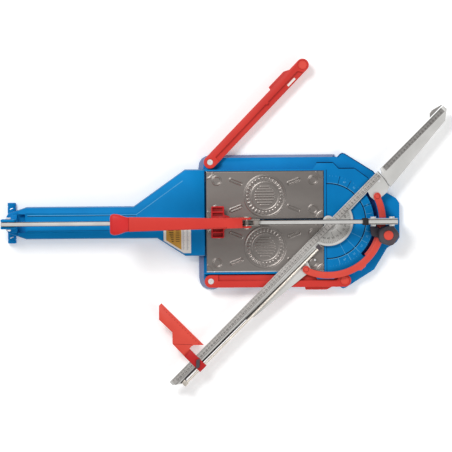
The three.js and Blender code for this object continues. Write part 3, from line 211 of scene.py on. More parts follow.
# A darker copy of the moulded red: painted shade for the square's runner.
runner_painted_shade = finish("moulded_red_painted_shade", (196, 34, 34), (178, 26, 29), (0.4, 0.52),
                   0, 14, 1100, specular=0.25)
# Painted shade in a darker red, for the low faces of the breaker foot and the pressed lines.
painted_shade_in_red = finish("pressed_line_painted_shade", (150, 34, 32), (134, 26, 26), (0.5, 0.6),
                  0, 30, 900, specular=0.2)
rail_steel = finish("rail_steel", (216, 208, 201), (134, 127, 121), (0.26, 0.42),
                    0.6, 26, 1400, 0.04, (0.25, 1, 1))
# Bright steel for screws and pins, also the painted reflection along the south plate's rolled edge.
bright_steel_and_glint = finish("bright_screw_and_painted_glint", (250, 250, 250), (226, 226, 226), (0.22, 0.34),
                     0.45, 60, 1600, 0.03)
plate_steel = finish("plate_steel", (160, 153, 148), (130, 124, 120), (0.3, 0.42),
                     0.88, 9, 1800, 0.02, (0.3, 1, 1))
# Satin aluminium for the ruler and blade, also the painted highlight on the rail's flat top.
aluminium = finish("satin_aluminium_and_rail_highlight", (212, 211, 208), (192, 191, 188), (0.4, 0.54),
                   0.3, 18, 2200, 0.03)
dial_metal = finish("dial_metal", (188, 186, 182), (170, 168, 164), (0.4, 0.52),
                    0.5, 18, 2200, 0.02)
strip_metal = finish("scale_strip", (192, 188, 184), (174, 170, 166), (0.4, 0.54),
                     0.3, 30, 2200, 0.02)
# Painted shade for the rail's slanted sides.
painted_rail_side_shade = finish("shaded_steel", (100, 94, 90), (72, 68, 65), (0.3, 0.45),
                    0.6, 26, 1400, 0.03, (0.25, 1, 1))
dark_strip = finish("dark_scale_strip", (150, 147, 144), (132, 129, 126), (0.4, 0.54),
                    0.3, 30, 2200, 0.02)
# Painted shade for bevels, rim edges and the south crease; painted highlight for bevels and the tail's
# flanks.
painted_edge_shade = finish("edge_painted_shade_blue", (2, 58, 104), (2, 48, 90), (0.4, 0.5),
                   0.1, 12, 1400, specular=0.2)
painted_bevel_highlight = finish("bevel_painted_highlight_blue", (120, 156, 190), (92, 136, 178), (0.36, 0.48),
                   0.2, 12, 1400, specular=0.3)
chrome = finish("polished_chrome", (226, 218, 206), (198, 190, 180), (0.3, 0.38), 0.6, 20, 900, 0.0)
black_plastic = finish("black_plastic", (86, 78, 84), (68, 61, 67), (0.5, 0.66),
                       0, 30, 1500, 0.08, specular=0.3)
rubber = finish("black_rubber", (44, 43, 45), (30, 29, 31), (0.72, 0.86),
                0, 40, 1600, 0.1, specular=0.3)
ink = finish("printed_ink", (36, 32, 32), (26, 23, 23), (0.55, 0.7), 0, 60, 900, specular=0.2)
white_print = finish("white_label", (236, 235, 230), (224, 222, 216), (0.5, 0.62),
                     0, 40, 900, specular=0.3)
grey_print = finish("grey_print", (150, 152, 160), (130, 132, 142), (0.5, 0.6),
                    0, 60, 900, specular=0.2)
gold_print = finish("gold_label", (206, 158, 70), (186, 138, 54), (0.35, 0.5),
                    0.2, 40, 900, specular=0.3)
print("materials:", len(bpy.data.materials))

# %% [markdown]
# ## Easing the castings
# Cast and machined parts have no knife edges: a small radius on every corner is what catches the light.
# A bevel modifier would round the facets of the curves too, so a bmesh copy of each CAD node is merged,
# its flat facets are dissolved into whole faces, and only the corners sharper than a limit are bevelled.


# %% Eased copies of CAD nodes
def make_piece(name, mesh, material, body, replaced=()):
    """Puts a finished mesh in the scene and ties it to its body."""
    piece = bpy.data.objects.new(name, mesh)
    bpy.context.scene.collection.objects.link(piece)
    mesh.materials.clear()
    mesh.materials.append(material)
    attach(piece, body)
    if replaced:
        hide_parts(*replaced)
    return piece


def shade(work, angle=32):
    """Smooth shading, with edges sharper than the angle kept crisp."""
    for face in work.faces:
        face.smooth = True
    for edge in work.edges:
        edge.smooth = edge.calc_face_angle(0) < math.radians(angle)


def mesh_from(work, name):
    shade(work)
    mesh = bpy.data.meshes.new(name)
    work.to_mesh(mesh)
    work.free()
    return mesh


def bevel(work, edges, width, segments):
    bmesh.ops.bevel(work, geom=edges, offset=width, offset_type="OFFSET", segments=segments,
                    profile=0.5, affect="EDGES", clamp_overlap=False, material=-1)


def rounded(node, width, segments, angle):
    """A merged copy of a CAD node, bevelled, with its area next to that of the sharp solid."""
    work = bmesh.new()
    work.from_mesh(frame["nodes"][node].data)
    bmesh.ops.remove_doubles(work, verts=work.verts, dist=0.02 * MM)
    sharp_area = sum(face.calc_area() for face in work.faces)
    bmesh.ops.dissolve_limit(work, angle_limit=math.radians(0.6), verts=work.verts, edges=work.edges)
    limit = math.radians(angle)
    corners = [e for e in work.edges if len(e.link_faces) == 2 and e.calc_face_angle(0) > limit]
    bevel(work, corners, width * MM, segments)
    bmesh.ops.triangulate(work, faces=[f for f in work.faces if len(f.verts) > 4])
    area = sum(face.calc_area() for face in work.faces)
    return work, area / sharp_area


def eased(node, name, width, material, body, slot, segments=2, angle=38):
    """A copy of a CAD node with corners of `width` millimetres, or less where they would collide."""
    work, ratio = rounded(node, width, segments, angle)
    while ratio > 1.02 and width > 0.1:
        work.free()
        width *= 0.6
        work, ratio = rounded(node, width, segments, angle)
    print(f"{name}: radius {width:.2f} mm, area {ratio:.3f} of the sharp one")
    return make_piece(name, mesh_from(work, name), material, body, [node])


def accent(piece, material, chosen):
    """Gives a second finish to the faces whose middle (in millimetres) and normal are chosen."""
    piece.data.materials.append(material)
    for face in piece.data.polygons:
        if chosen(face.center / MM, face.normal):
            face.material_index = len(piece.data.materials) - 1


eased_nodes = [
    ("base_casting", "cast_body", 1.8, blue_paint, "base", "blue_paint"),
    ("tail_casting", "cast_tail", 2.2, blue_paint, "base", "blue_paint"),
    ("rail_front_bracket", "front_bracket", 1.2, blue_paint, "base", "blue_paint"),
    ("rail_rear_bracket", "rear_bridge", 1.2, blue_paint, "base", "blue_paint"),
    ("rail", "monorail", 2.4, rail_steel, "base", "steel"),
    ("rail_end_channel", "end_channel", 0.5, aluminium, "base", "steel"),
    ("rail_bumper", "rail_buffer", 1.5, rubber, "base", "rubber"),
    ("rail_front_bolt", "front_bolt", 0.5, bright_steel_and_glint, "base", "chrome"),
    ("rail_rear_bolt_1", "rear_bolt_one", 0.5, bright_steel_and_glint, "base", "chrome"),
    ("rail_rear_bolt_2", "rear_bolt_two", 0.5, bright_steel_and_glint, "base", "chrome"),
    ("breaking_bar", "snap_bar", 0.3, rail_steel, "base", "steel"),
    ("plate_spring_north", "leaf_spring_north", 0.3, rail_steel, "base", "steel"),
    ("plate_spring_south", "leaf_spring_south", 0.3, rail_steel, "base", "steel"),
    ("clamp_plate", "clamp_tongue", 0.8, black_plastic, "base", "black_plastic"),
    ("side_arm_north", "arm_beam_north", 1.3, red_paint, "arm_north", "red_paint"),
    ("side_arm_south", "arm_beam_south", 1.3, red_paint, "arm_south", "red_paint"),
    ("ruler_bar", "ruler_body", 0.5, aluminium, "goniometer", "aluminium"),
    ("ruler_scale", "ruler_strip", 0.15, strip_metal, "goniometer", "aluminium"),
    ("rod_holder_front", "rod_block_front", 0.6, black_plastic, "goniometer", "black_plastic"),
    ("rod_holder_rear", "rod_block_rear", 0.6, chrome, "goniometer", "chrome"),
    ("arc_handle", "arc_grip", 2.2, bright_red, "goniometer", "red_plastic"),
    ("extension_ruler", "extension_blade", 0.5, aluminium, "extension", "aluminium"),
    ("end_hook", "extension_hook", 0.4, dark_strip, "extension", "aluminium"),
    ("square_stop", "square_blade", 0.6, bright_red, "square", "red_plastic"),
    # The runner gets painted shade, a darker copy of the moulded red.
    ("square_slider", "square_runner", 0.8, runner_painted_shade, "square", "red_plastic"),
    ("square_lever", "lock_lever", 0.8, black_plastic, "lever", "black_plastic"),
    ("carriage_body", "carriage_frame", 0.4, rail_steel, "carriage", "steel"),
    ("handle_lever", "handle_shaft", 2.6, red_paint, "handle", "red_paint"),
    ("breaker_foot", "snap_foot", 1.0, foot_red, "handle", "red_plastic"),
    ("wheel_holder", "wheel_fork", 0.4, rail_steel, "handle", "steel"),
    ("handle_bolt", "pivot_bolt", 0.5, chrome, "carriage", "chrome"),
]
eased_pieces = {name: eased(node, name, *rest) for node, name, *rest in eased_nodes}

# %% [markdown]
# ## Painted shade and highlight
# The bevels of the castings catch or lose the light, and the sides of the rail look darker than its top. A
# shader could find such edges by their curvature. Choosing faces by place and normal is simpler: it puts
# painted shade on the bevels that face north, the rail's sides and the way for the arc, painted highlight on
# the bevels that face south, the tail's flanks and the rail's top, and a painted reflection on the pale
# skirt.

# %% Faces with painted shade, highlight and reflection
bed_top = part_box("side_arm_south")[0][2] / MM - 1
rim_low = deck_top - 2.4
foot_top = top_of("breaker_foot")


def on_bevel(normal):
    """A face that slants upwards, as the rounded corners under a flat top do."""
    return 0.2 < normal.z < 0.96


def east_bed_rim(at):
    """Along the rim of the lower bed, east of the plates."""
    return at.x > 24 and bed_top - 2.4 < at.z < bed_top + 0.2


body, tail, rail = (eased_pieces[name] for name in ("cast_body", "cast_tail", "monorail"))
# Painted shade on the upper bevels that face north, east or west, painted highlight on those that face south.
accent(body, painted_edge_shade, lambda at, n: at.z > rim_low and on_bevel(n) and n.y > -0.2)
accent(body, painted_bevel_highlight, lambda at, n: at.z > rim_low and on_bevel(n) and n.y < -0.5)
# Painted shade on the north-facing bevels of the lower bed's rim, east of the plates.
accent(body, painted_edge_shade, lambda at, n: east_bed_rim(at) and on_bevel(n) and n.y > 0.2)
# Painted shade on the rail's slanted sides and painted highlight on its flat top.
accent(rail, painted_rail_side_shade, lambda at, n: 0.1 < n.z < 0.97)
accent(rail, aluminium, lambda at, n: n.z >= 0.97)
# Painted shade on the lower upward faces of the breaker foot.
accent(eased_pieces["snap_foot"], painted_shade_in_red, lambda at, n: at.z < foot_top - 8 and n.z > 0.7)
# Painted highlight on the slanted flanks of the tail.
accent(tail, painted_bevel_highlight, lambda at, n: at.z < rim_low and 0.1 < n.z < 0.9 and abs(n.y) > 0.4)
# Painted reflection on the slopes of the skirt below the bed.
accent(body, painted_skirt_reflection, lambda at, n: at.z < bed_top - 0.6 and 0.3 < n.z < 0.9)
# Painted shade on the low floors below the bed, such as the recess for the arc.
accent(body, recess_painted_shade, lambda at, n: at.z < bed_top - 3 and n.z > 0.9)
print("finishes on the body:", [material.name for material in body.data.materials])

# %% [markdown]
# ## Leaf springs
# Each plate rests on a bent steel strip that flattens when a tile is pressed down. Here each spring only
# gets a mesh of its own; nothing squashes it as the plate goes down.

# %% A mesh of its own for each spring
for side in ("north", "south"):
    low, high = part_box("plate_spring_" + side)
    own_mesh(eased_pieces["leaf_spring_" + side])

# %% [markdown]
# ## Turned pieces
# Screws, pads, the crossbar, the rod and the knob's cap are turned on a lathe. Their CAD solids have few
# sides, so each one is made again from its half profile with a full spin, which gives a true round.


# %% A lathe
def turned(profile, matrix, steps=64):
    """Spins a closed half profile of radius and height round the Z axis."""
    work = bmesh.new()
    verts = [work.verts.new((radius, 0, height)) for radius, height in profile]
    edges = [work.edges.new(pair) for pair in zip(verts, verts[1:])]
    if profile[0][0] > 0:
        edges.append(work.edges.new((verts[-1], verts[0])))
    bmesh.ops.spin(work, geom=verts + edges, cent=(0, 0, 0), axis=(0, 0, 1), angle=math.tau,
                   steps=steps, use_merge=True, use_duplicate=False)
    bmesh.ops.remove_doubles(work, verts=work.verts, dist=1e-4)
    bmesh.ops.recalc_face_normals(work, faces=work.faces)
    bmesh.ops.transform(work, matrix=matrix, verts=work.verts)
    return work


def dome(radius, low, high, ease):
    """Half profile of a button with a rounded upper rim."""
    rim = [(radius - ease + ease * math.cos(a), high - ease + ease * math.sin(a))
           for a in (math.radians(d) for d in range(0, 91, 15))]
    return [(0, low), (radius, low), *rim, (0, high)]


def round_bar(radius, start, end, ease=0.4):
    """Half profile of a bar with eased ends."""
    return [(0, start), (radius - ease, start), (radius, start + ease), (radius, end - ease),
            (radius - ease, end), (0, end)]


def along_y(x, z):
    """Lathe axis laid along Y through a point."""
    return Matrix.Translation((x * MM, 0, z * MM)) @ Matrix.Rotation(math.pi / 2, 4, "X") @ bench


# %% Pads and screws of the side arms
ARM_LENGTH = 362
SCREW_FOOT = 13
low_pad, high_pad = deck_top - 3.7, deck_top + 0.7
for side, arm_frame in (("north", arm_north_frame), ("south", arm_south_frame)):
    body = "arm_" + side
    place = arm_frame @ Matrix.Translation((ARM_LENGTH, 0, 0))
    pad = turned([(0, low_pad), (12, low_pad), (12, high_pad - 1), (11.2, high_pad), (9.6, high_pad),
                  (8.8, high_pad - 0.8), (0, high_pad - 0.8)], place)
    if side == "south":
        bmesh.ops.recalc_face_normals(pad, faces=pad.faces)
    make_piece("tip_pad_" + side, mesh_from(pad, "pad"), bright_red, body, ["arm_tip_pad_" + side])
    x, y, _ = joints[f"arm_{side}_swing"]["pos_m"]
    place = Matrix.Translation((x, y, 0)) @ bench
    top = top_of("arm_screw_" + side)
    screw = turned([(0, SCREW_FOOT), (5, SCREW_FOOT), (5, top - 3), (8, top - 3), (8, top - 0.6), (7.4, top),
                    (3.4, top), (3, top - 0.4), (3, top - 2), (0, top - 2)], place)
    make_piece("arm_screw_cap_" + side, mesh_from(screw, "screw"), bright_steel_and_glint, "base",
               ["arm_screw_" + side])
    print(body, "pad", ARM_LENGTH, "mm from its screw, screw's top at", round(top, 1), "mm")

# %% Crossbar and its pins
PIN_SPREAD, PIN_LEAN = 39, math.radians(24)
bar_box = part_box("foot_crossbar")
bar_centre = ((bar_box[0][0] + bar_box[1][0]) / 2 / MM, (bar_box[0][2] + bar_box[1][2]) / 2 / MM)
radius = (bar_box[1][0] - bar_box[0][0]) / 2 / MM
end = bar_box[1][1] / MM
half = [(radius, 0), (radius, end - 12), (radius - 0.8, end - 11.4), (radius - 0.8, end - 8.6),
        (radius, end - 8), (radius, end - 1), (radius - 1, end), (0, end)]
whole = [(r, -h) for r, h in reversed(half[1:])] + half[1:]
bar = turned(whole, along_y(*bar_centre), 48)
make_piece("crossbar", mesh_from(bar, "crossbar"), blue_paint, "base", ["foot_crossbar"])

lie_down = Matrix.Rotation(PIN_LEAN, 4, "Z") @ Matrix.Rotation(math.pi / 2, 4, "Y")
for side, y in (("north", PIN_SPREAD), ("south", -PIN_SPREAD)):
    place = Matrix.Translation((bar_centre[0], y, bar_centre[1] + radius - 0.7))
    pin = turned(round_bar(1.3, -4.6, 4.6), bench @ place @ lie_down, 24)
    make_piece("crossbar_pin_" + side, mesh_from(pin, "pin"), bright_steel_and_glint, "base", ())
print("crossbar", round(2 * end), "mm long,", round(2 * radius), "mm thick")

# %% Rod and scoring wheel
ROD = {"radius": 3.5, "start": -590, "end": -62, "y": -33.3, "z": 56.5}
WHEEL_RADIUS = 11
rod_frame = ruler_frame @ Matrix.Translation((0, ROD["y"], ROD["z"])) @ Matrix.Rotation(math.pi / 2, 4, "Y")
rod = turned(round_bar(ROD["radius"], ROD["start"], ROD["end"]), rod_frame, 32)
make_piece("slide_rod", mesh_from(rod, "rod"), chrome, "goniometer", ["guide_rod"])

wheel_x, _, wheel_z = joints["wheel_spin"]["pos_m"]
wheel = turned([(2.5, -2), (8, -2), (WHEEL_RADIUS - 0.1, -0.1), (WHEEL_RADIUS, 0), (WHEEL_RADIUS - 0.1, 0.1),
                (8, 2), (2.5, 2)], along_y(wheel_x / MM, wheel_z / MM), 64)
make_piece("score_wheel", mesh_from(wheel, "wheel"), chrome, "wheel", ["scoring_wheel"])
print("rod", ROD["end"] - ROD["start"], "mm long, wheel", 2 * WHEEL_RADIUS, "mm across")

# %% [markdown]
# ## Clamp knob
# The knob is a soft five-lobed moulding with a red cap pressed into its top. A turned body whose sides
# are pushed in and out by a wave of five gives the lobes, and keeps the rounded rim that a bevel makes.

# %% Knob and cap
KNOB_RADIUS, KNOB_LOW, KNOB_HIGH, KNOB_BORE = 27.5, 64.8, 83.8, 4.3
CAP_RADIUS = 13
LOBES, WAVE, WAVE_START = 5, 0.11, 15
rim = [(KNOB_RADIUS - 6 + 6 * math.cos(a), KNOB_HIGH - 6 + 6 * math.sin(a))
       for a in (math.radians(d) for d in range(0, 91, 10))]
profile = [(KNOB_BORE, KNOB_LOW), (KNOB_RADIUS - 3, KNOB_LOW), (KNOB_RADIUS, KNOB_LOW + 3), *rim,
           (CAP_RADIUS + 0.4, KNOB_HIGH + 0.4), (CAP_RADIUS + 0.3, KNOB_HIGH - 2.6),
           (KNOB_BORE, KNOB_HIGH - 2.6)]
knob = turned(profile, Matrix.Identity(4), 120)
for vert in knob.verts:
    distance = math.hypot(vert.co.x, vert.co.y)
    if distance > WAVE_START:
        push = WAVE * (distance - WAVE_START) * math.cos(LOBES * math.atan2(vert.co.y, vert.co.x))
        vert.co.x += push * vert.co.x / distance
        vert.co.y += push * vert.co.y / distance
bmesh.ops.transform(knob, matrix=knob_frame, verts=knob.verts)
make_piece("lobed_knob", mesh_from(knob, "knob"), black_plastic, "knob", ["clamp_knob"])
cap = turned(dome(CAP_RADIUS, KNOB_HIGH - 2.4, KNOB_HIGH + 3, 1.6), knob_frame)
make_piece("knob_button", mesh_from(cap, "cap"), bright_red, "knob", ["knob_cap"])
print("knob's lobes reach", round(KNOB_RADIUS + WAVE * (KNOB_RADIUS - WAVE_START), 1), "mm from its axis")

# %% [markdown]
# ## Embossed plates
# Each plate is pressed steel: rings, slots and a large round medal stand in relief. Modelling every
# relief by hand would take many cuts, so a fine grid is raised by a height formula, as a sculptor's
# stamp would, and then given its thickness. The medal carries a ring of strokes and a stack of plain bars.


# %% The stamp: height above the sheet, in millimetres
def step(value, edge, soft=1.7):
    """Goes smoothly from 0 to 1 as the value passes the edge."""
    t = min(max((value - edge) / soft + 0.5, 0), 1)
    return t * t * (3 - 2 * t)


def band(distance, low, high):
    return step(distance, low) * (1 - step(distance, high))


def capsule(x, y, length, width, angle):
    """1 inside a round-ended slot about the origin, 0 outside it."""
    along = x * math.cos(angle) + y * math.sin(angle)
    across = y * math.cos(angle) - x * math.sin(angle)
    reach = max(abs(along) - (length - width) / 2, 0)
    return 1 - step(math.hypot(reach, across), width / 2)


CELL = 0.85
RING, RING_SPREAD = 13, (130, 39.5)
MEDAL = 57
STROKES = 30
BARS = [(3, 27), (11, 25), (18, 20), (25, 13)]
CORNER_ARC = (158.5, 64)
SLOTS = [(sx * 78, sy * 36, sx * sy * math.radians(21)) for sx in (1, -1) for sy in (1, -1)]
SLOT_RIM, SLOT_HOLLOW = (38, 10), (33, 5)


def medal(x, y):
    """Relief of the round medal: rims, a ring of strokes, and a stack of plain bars."""
    distance, angle = math.hypot(x, y), math.atan2(y, x)
    if distance > MEDAL + 2:
        return 0
    height = band(distance, MEDAL - 4.5, MEDAL) + 0.5 * band(distance, 36, 38.5)
    stroke = 0.5 + 0.5 * math.cos(STROKES * angle)
    height += 0.8 * band(distance, 42, 50) * step(stroke, 0.5, 0.4)
    for middle, half in BARS:
        height += 0.8 * band(abs(abs(y) - middle), -9, 1.6) * (1 - step(abs(x), half))
    return height


def relief(x, y):
    """x and y in millimetres from the plate's middle, y away from the cutting line."""
    height = 0
    near_x, near_y = abs(x) - RING_SPREAD[0], abs(y) - RING_SPREAD[1]
    if abs(near_x) < 18 and abs(near_y) < 18:
        height += 1.2 * band(math.hypot(near_x, near_y), RING - 3.8, RING)
    corner = math.hypot(abs(x) - CORNER_ARC[0], abs(y) - CORNER_ARC[1])
    height += 0.9 * band(corner, 17, 21) * (abs(x) < 157)
    for middle_x, middle_y, angle in SLOTS:
        if abs(x - middle_x) < 22 and abs(y - middle_y) < 14:
            outer = capsule(x - middle_x, y - middle_y, *SLOT_RIM, angle)
            inner = capsule(x - middle_x, y - middle_y, *SLOT_HOLLOW, angle)
            height += 1.1 * outer - 1.5 * inner
    return height + 1.05 * medal(x, y + 3)


# %% Press both plates
SHEET_DEPTH = 4
for side, sign in (("north", 1), ("south", -1)):
    low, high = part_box("plate_" + side)
    size_x, size_y = (high[0] - low[0]) / MM, (high[1] - low[1]) / MM
    middle = ((low[0] + high[0]) / 2, (low[1] + high[1]) / 2)
    sheet = bmesh.new()
    bmesh.ops.create_grid(sheet, x_segments=round(size_x / CELL), y_segments=round(size_y / CELL), size=0.5,
                          matrix=Matrix.Diagonal((size_x, size_y, 1, 1)))
    for vert in sheet.verts:
        edge = min(size_x / 2 - abs(vert.co.x), size_y / 2 - abs(vert.co.y))
        roll = 1.4 * (1 - step(edge, 1.3, 2.2))
        vert.co.z = relief(vert.co.x, sign * vert.co.y) - roll
    rim = [e for e in sheet.edges if e.is_boundary]
    skirt = bmesh.ops.extrude_edge_only(sheet, edges=rim)["geom"]
    for vert in (v for v in skirt if isinstance(v, bmesh.types.BMVert)):
        vert.co.z = -SHEET_DEPTH
    bottom = [e for e in sheet.edges if e.is_boundary]
    bmesh.ops.contextual_create(sheet, geom=bottom)
    bmesh.ops.recalc_face_normals(sheet, faces=sheet.faces)
    place = Matrix.Translation((*middle, deck_top * MM)) @ bench
    bmesh.ops.transform(sheet, matrix=place, verts=sheet.verts)
    plate = make_piece("pressed_plate_" + side, mesh_from(sheet, "plate"), plate_steel,
                       "plate_" + side, ["plate_" + side])
    # A painted reflection along the rolled south edge of the south plate.
    painted_glint_edge = low[1] / MM + 2.2
    accent(plate, bright_steel_and_glint, lambda at, n: side == "south" and at.y < painted_glint_edge and n.z > 0.3)
    print(plate.name, len(plate.data.polygons), "faces")

# %% [markdown]
# ## Protractor
# The half-round protractor is a dish with a raised rim. It is turned whole and then cut off along the
# ruler with a plane, which leaves the same flat side that the machined part has.

# %% Turn the dish and cut it
CHORD = -18.6
dish_low = strip_top - 1
face, rim_top = dish_low + 2, dish_low + 3.6
dish = turned([(0, dish_low), (66.5, dish_low), (67, dish_low + 0.5), (67, rim_top - 0.8), (66.2, rim_top),
               (62.5, rim_top), (61.7, rim_top - 0.4), (60, face + 0.2), (59.4, face), (28.4, face),
               (27.2, rim_top - 1), (26.6, rim_top - 0.6), (24.6, rim_top - 0.6), (24, rim_top - 1),
               (22.8, face), (0, face)], Matrix.Identity(4), 160)
chord = bmesh.ops.bisect_plane(dish, geom=dish.verts[:] + dish.edges[:] + dish.faces[:], dist=1e-4,
                               plane_co=(0, CHORD, 0), plane_no=(0, 1, 0), clear_outer=True)
cut_edges = [e for e in chord["geom_cut"] if isinstance(e, bmesh.types.BMEdge)]
bmesh.ops.contextual_create(dish, geom=cut_edges)
bmesh.ops.transform(dish, matrix=ruler_frame, verts=dish.verts)
dish_piece = make_piece("protractor_dish", mesh_from(dish, "dish"), aluminium, "goniometer", ["protractor"])
accent(dish_piece, dial_metal, lambda at, n: at.z < face + 0.6 and n.z > 0.2)
print("dish cut", -CHORD, "mm from the pivot,", len(dish_piece.data.polygons), "faces")

# %% [markdown]
# ## Printed marks
# Scales are printed or etched: short strokes and plain numbers. Painting them in the shader would blur
# them, so each stroke is a thin box and each number a text turned into a mesh, all joined in one piece.


# %% Strokes and numbers
def stroke(work, x0, x1, y0, y1, z, high=0.12, turn=0.0):
    """A thin box on a surface at height z, turned about Z by an angle."""
    size = Matrix.Diagonal((abs(x1 - x0), abs(y1 - y0), high, 1))
    middle = Matrix.Translation(((x0 + x1) / 2, (y0 + y1) / 2, z + high / 2))
    bmesh.ops.create_cube(work, size=1, matrix=Matrix.Rotation(turn, 4, "Z") @ middle @ size)


def line(work, start, end, width, z, high=0.12):
    """A thin straight strip from one place to another."""
    start, end = Vector(start[:2]), Vector(end[:2])
    middle, run = (start + end) / 2, end - start
    place = Matrix.Translation((middle.x, middle.y, z + high / 2))
    turn = Matrix.Rotation(math.atan2(run.y, run.x), 4, "Z")
    bmesh.ops.create_cube(work, size=1, matrix=place @ turn @ Matrix.Diagonal((run.length, width, high, 1)))


def arc_line(work, radius, width, start, end, z, high=0.1, pitch=3):
    """A thin line round the pivot, in short straight lengths."""
    half = radius * math.radians(pitch + 0.04) / 2
    for degree in range(start, end, pitch):
        turn = math.radians(degree + pitch / 2)
        stroke(work, radius - width / 2, radius + width / 2, -half, half, z, high, turn)


def number(work, text, x, y, z, size, turn=0.0, high=0.1):
    """A number centred on a place, its baseline turned by an angle."""
    curve = bpy.data.curves.new("number", "FONT")
    curve.body, curve.size, curve.extrude = text, size, high / 2
    curve.align_x, curve.align_y = "CENTER", "CENTER"
    curve.resolution_u = 3
    carrier = bpy.data.objects.new("number", curve)
    mesh = bpy.data.meshes.new_from_object(carrier)
    mesh.transform(Matrix.Translation((x, y, z + high / 2)) @ Matrix.Rotation(turn, 4, "Z"))
    work.from_mesh(mesh)
    bpy.data.meshes.remove(mesh)
    bpy.data.objects.remove(carrier)
    bpy.data.curves.remove(curve)


def marks(name, work, matrix, material, body):
    bmesh.ops.remove_doubles(work, verts=work.verts, dist=1e-5)
    bmesh.ops.transform(work, matrix=matrix, verts=work.verts)
    print(f"{name}: {len(work.faces)} faces")
    return make_piece(name, mesh_from(work, name), material, body, ())


# %% The ruler's scale
MARK_LENGTHS = {10: 5.2, 5: 4.2, 1: 2.8}
RULER_START, RULER_END = -600, 181
EXTENSION_START, EXTENSION_END = 210, 430
STRIP_DROP = 1.5


def graduate(work, start, end, near, z, step=1):
    """Millimetre marks along X, longer at each five and ten, from the line y = -near."""
    for place in range(start, end, step):
        length = next(size for unit, size in MARK_LENGTHS.items() if place % unit == 0)
        width = 0.24 if length < 4 else 0.36
        stroke(work, place - width, place + width, -near, -near - length, z)


scale = bmesh.new()
graduate(scale, RULER_START, RULER_END, 1.6, strip_top, 2)
stroke(scale, RULER_START - 4, RULER_END + 2, -16.9, -16.4, strip_top)
for place in range(RULER_START + 10, RULER_END, 10):
    number(scale, str(abs(place) // 10), place, -11.6, strip_top, 8)
arc_line(scale, 188.6, 1.3, -15, 0, ruler_top)
marks("ruler_marks", scale, ruler_frame, ink, "goniometer")

extension_strip = bmesh.new()
stroke(extension_strip, EXTENSION_START - 4, EXTENSION_END, -15.4, -1.2, ruler_top - STRIP_DROP, 0.5)
bevel(extension_strip, extension_strip.edges[:], 0.15, 1)
marks("extension_strip", extension_strip, ruler_frame, dark_strip, "extension")
extension_scale = bmesh.new()
graduate(extension_scale, EXTENSION_START, EXTENSION_END, 2, ruler_top - 1, 2)
for place in range(EXTENSION_START + 10, EXTENSION_END, 10):
    number(extension_scale, str(place // 10), place, -11.4, ruler_top - 1, 6.4)
marks("extension_marks", extension_scale, ruler_frame, ink, "extension")

# %% The protractor's dial
FIGURE_CIRCLE = 46.5
dial = bmesh.new()
for degree in range(-165, -14, 5):
    long_mark = degree % 15 == 0
    stroke(dial, 52 if long_mark else 55, 59, -0.3, 0.3, face, turn=math.radians(degree))
for degree in range(-150, -29, 15):
    angle = math.radians(degree)
    place = (FIGURE_CIRCLE * math.cos(angle), FIGURE_CIRCLE * math.sin(angle))
    number(dial, str(abs(degree + 90)), *place, face, 8, angle + math.pi / 2)
for degree in (-120, -60, -90):
    stroke(dial, 31, 41, -0.4, 0.4, face, turn=math.radians(degree))
arc_line(dial, 59.8, 0.7, -159, -21, face)
arc_line(dial, 20, 0.5, -110, -70, face)
marks("protractor_marks", dial, ruler_frame, ink, "goniometer")

# %% [markdown]
# ## Lines on the deck and the tail
# The deck has an angle scale with a groove round it, a raised step and creases along the tail's roof. Cutting
# them into a casting takes heavy booleans, and they are too fine to show their depth from above. Thin strips
# of painted shade and painted highlight stand in for that depth. The step's painted shade follows the edges
# of the casting's own mesh.

# %% Lines and figures cast into the deck
SCALE_ARC, OUTER_ARC = 103, 121
HALF_DECK = 139
# Painted shadow in the groove round the scale and in the cast lines across the deck.
grooves = bmesh.new()
arc_line(grooves, SCALE_ARC - 2, 2.8, -93, 93, deck_top)
stroke(grooves, -5.2, -3.8, -HALF_DECK, HALF_DECK, deck_top, 0.1)
for degree in (22, 33, 44, 60, 75):
    stroke(grooves, SCALE_ARC - 1, OUTER_ARC + 4, -0.7, 0.7, deck_top, 0.1, math.radians(degree))
marks("deck_grooves", grooves, bench, painted_groove_shadow, "base")

# Pale strips and figures: painted highlight on the cast scale of the deck.
figures = bmesh.new()
for degree in (-75, -60, -45, -30, -15, 10):
    stroke(figures, SCALE_ARC, OUTER_ARC, -0.4, 0.4, deck_top, turn=math.radians(degree))
arc_line(figures, SCALE_ARC, 0.8, -90, 90, deck_top)
for degree in range(-88, 89, 4):
    stroke(figures, OUTER_ARC, OUTER_ARC + 2.2, -0.2, 0.2, deck_top, turn=math.radians(degree))
for degree in (-67, -52, -37, -22, 22, 37, 52, 67):
    angle = math.radians(degree)
    place = ((SCALE_ARC + 10) * math.cos(angle), (SCALE_ARC + 10) * math.sin(angle))
    number(figures, str(abs(degree)), *place, deck_top, 7, angle - math.copysign(math.pi / 2, degree))
for degree in (-27, -45, -63):
    stroke(figures, SCALE_ARC - 35, SCALE_ARC, -0.3, 0.3, deck_top, turn=math.radians(degree))
marks("deck_figures", figures, bench, painted_pale_highlight, "base")

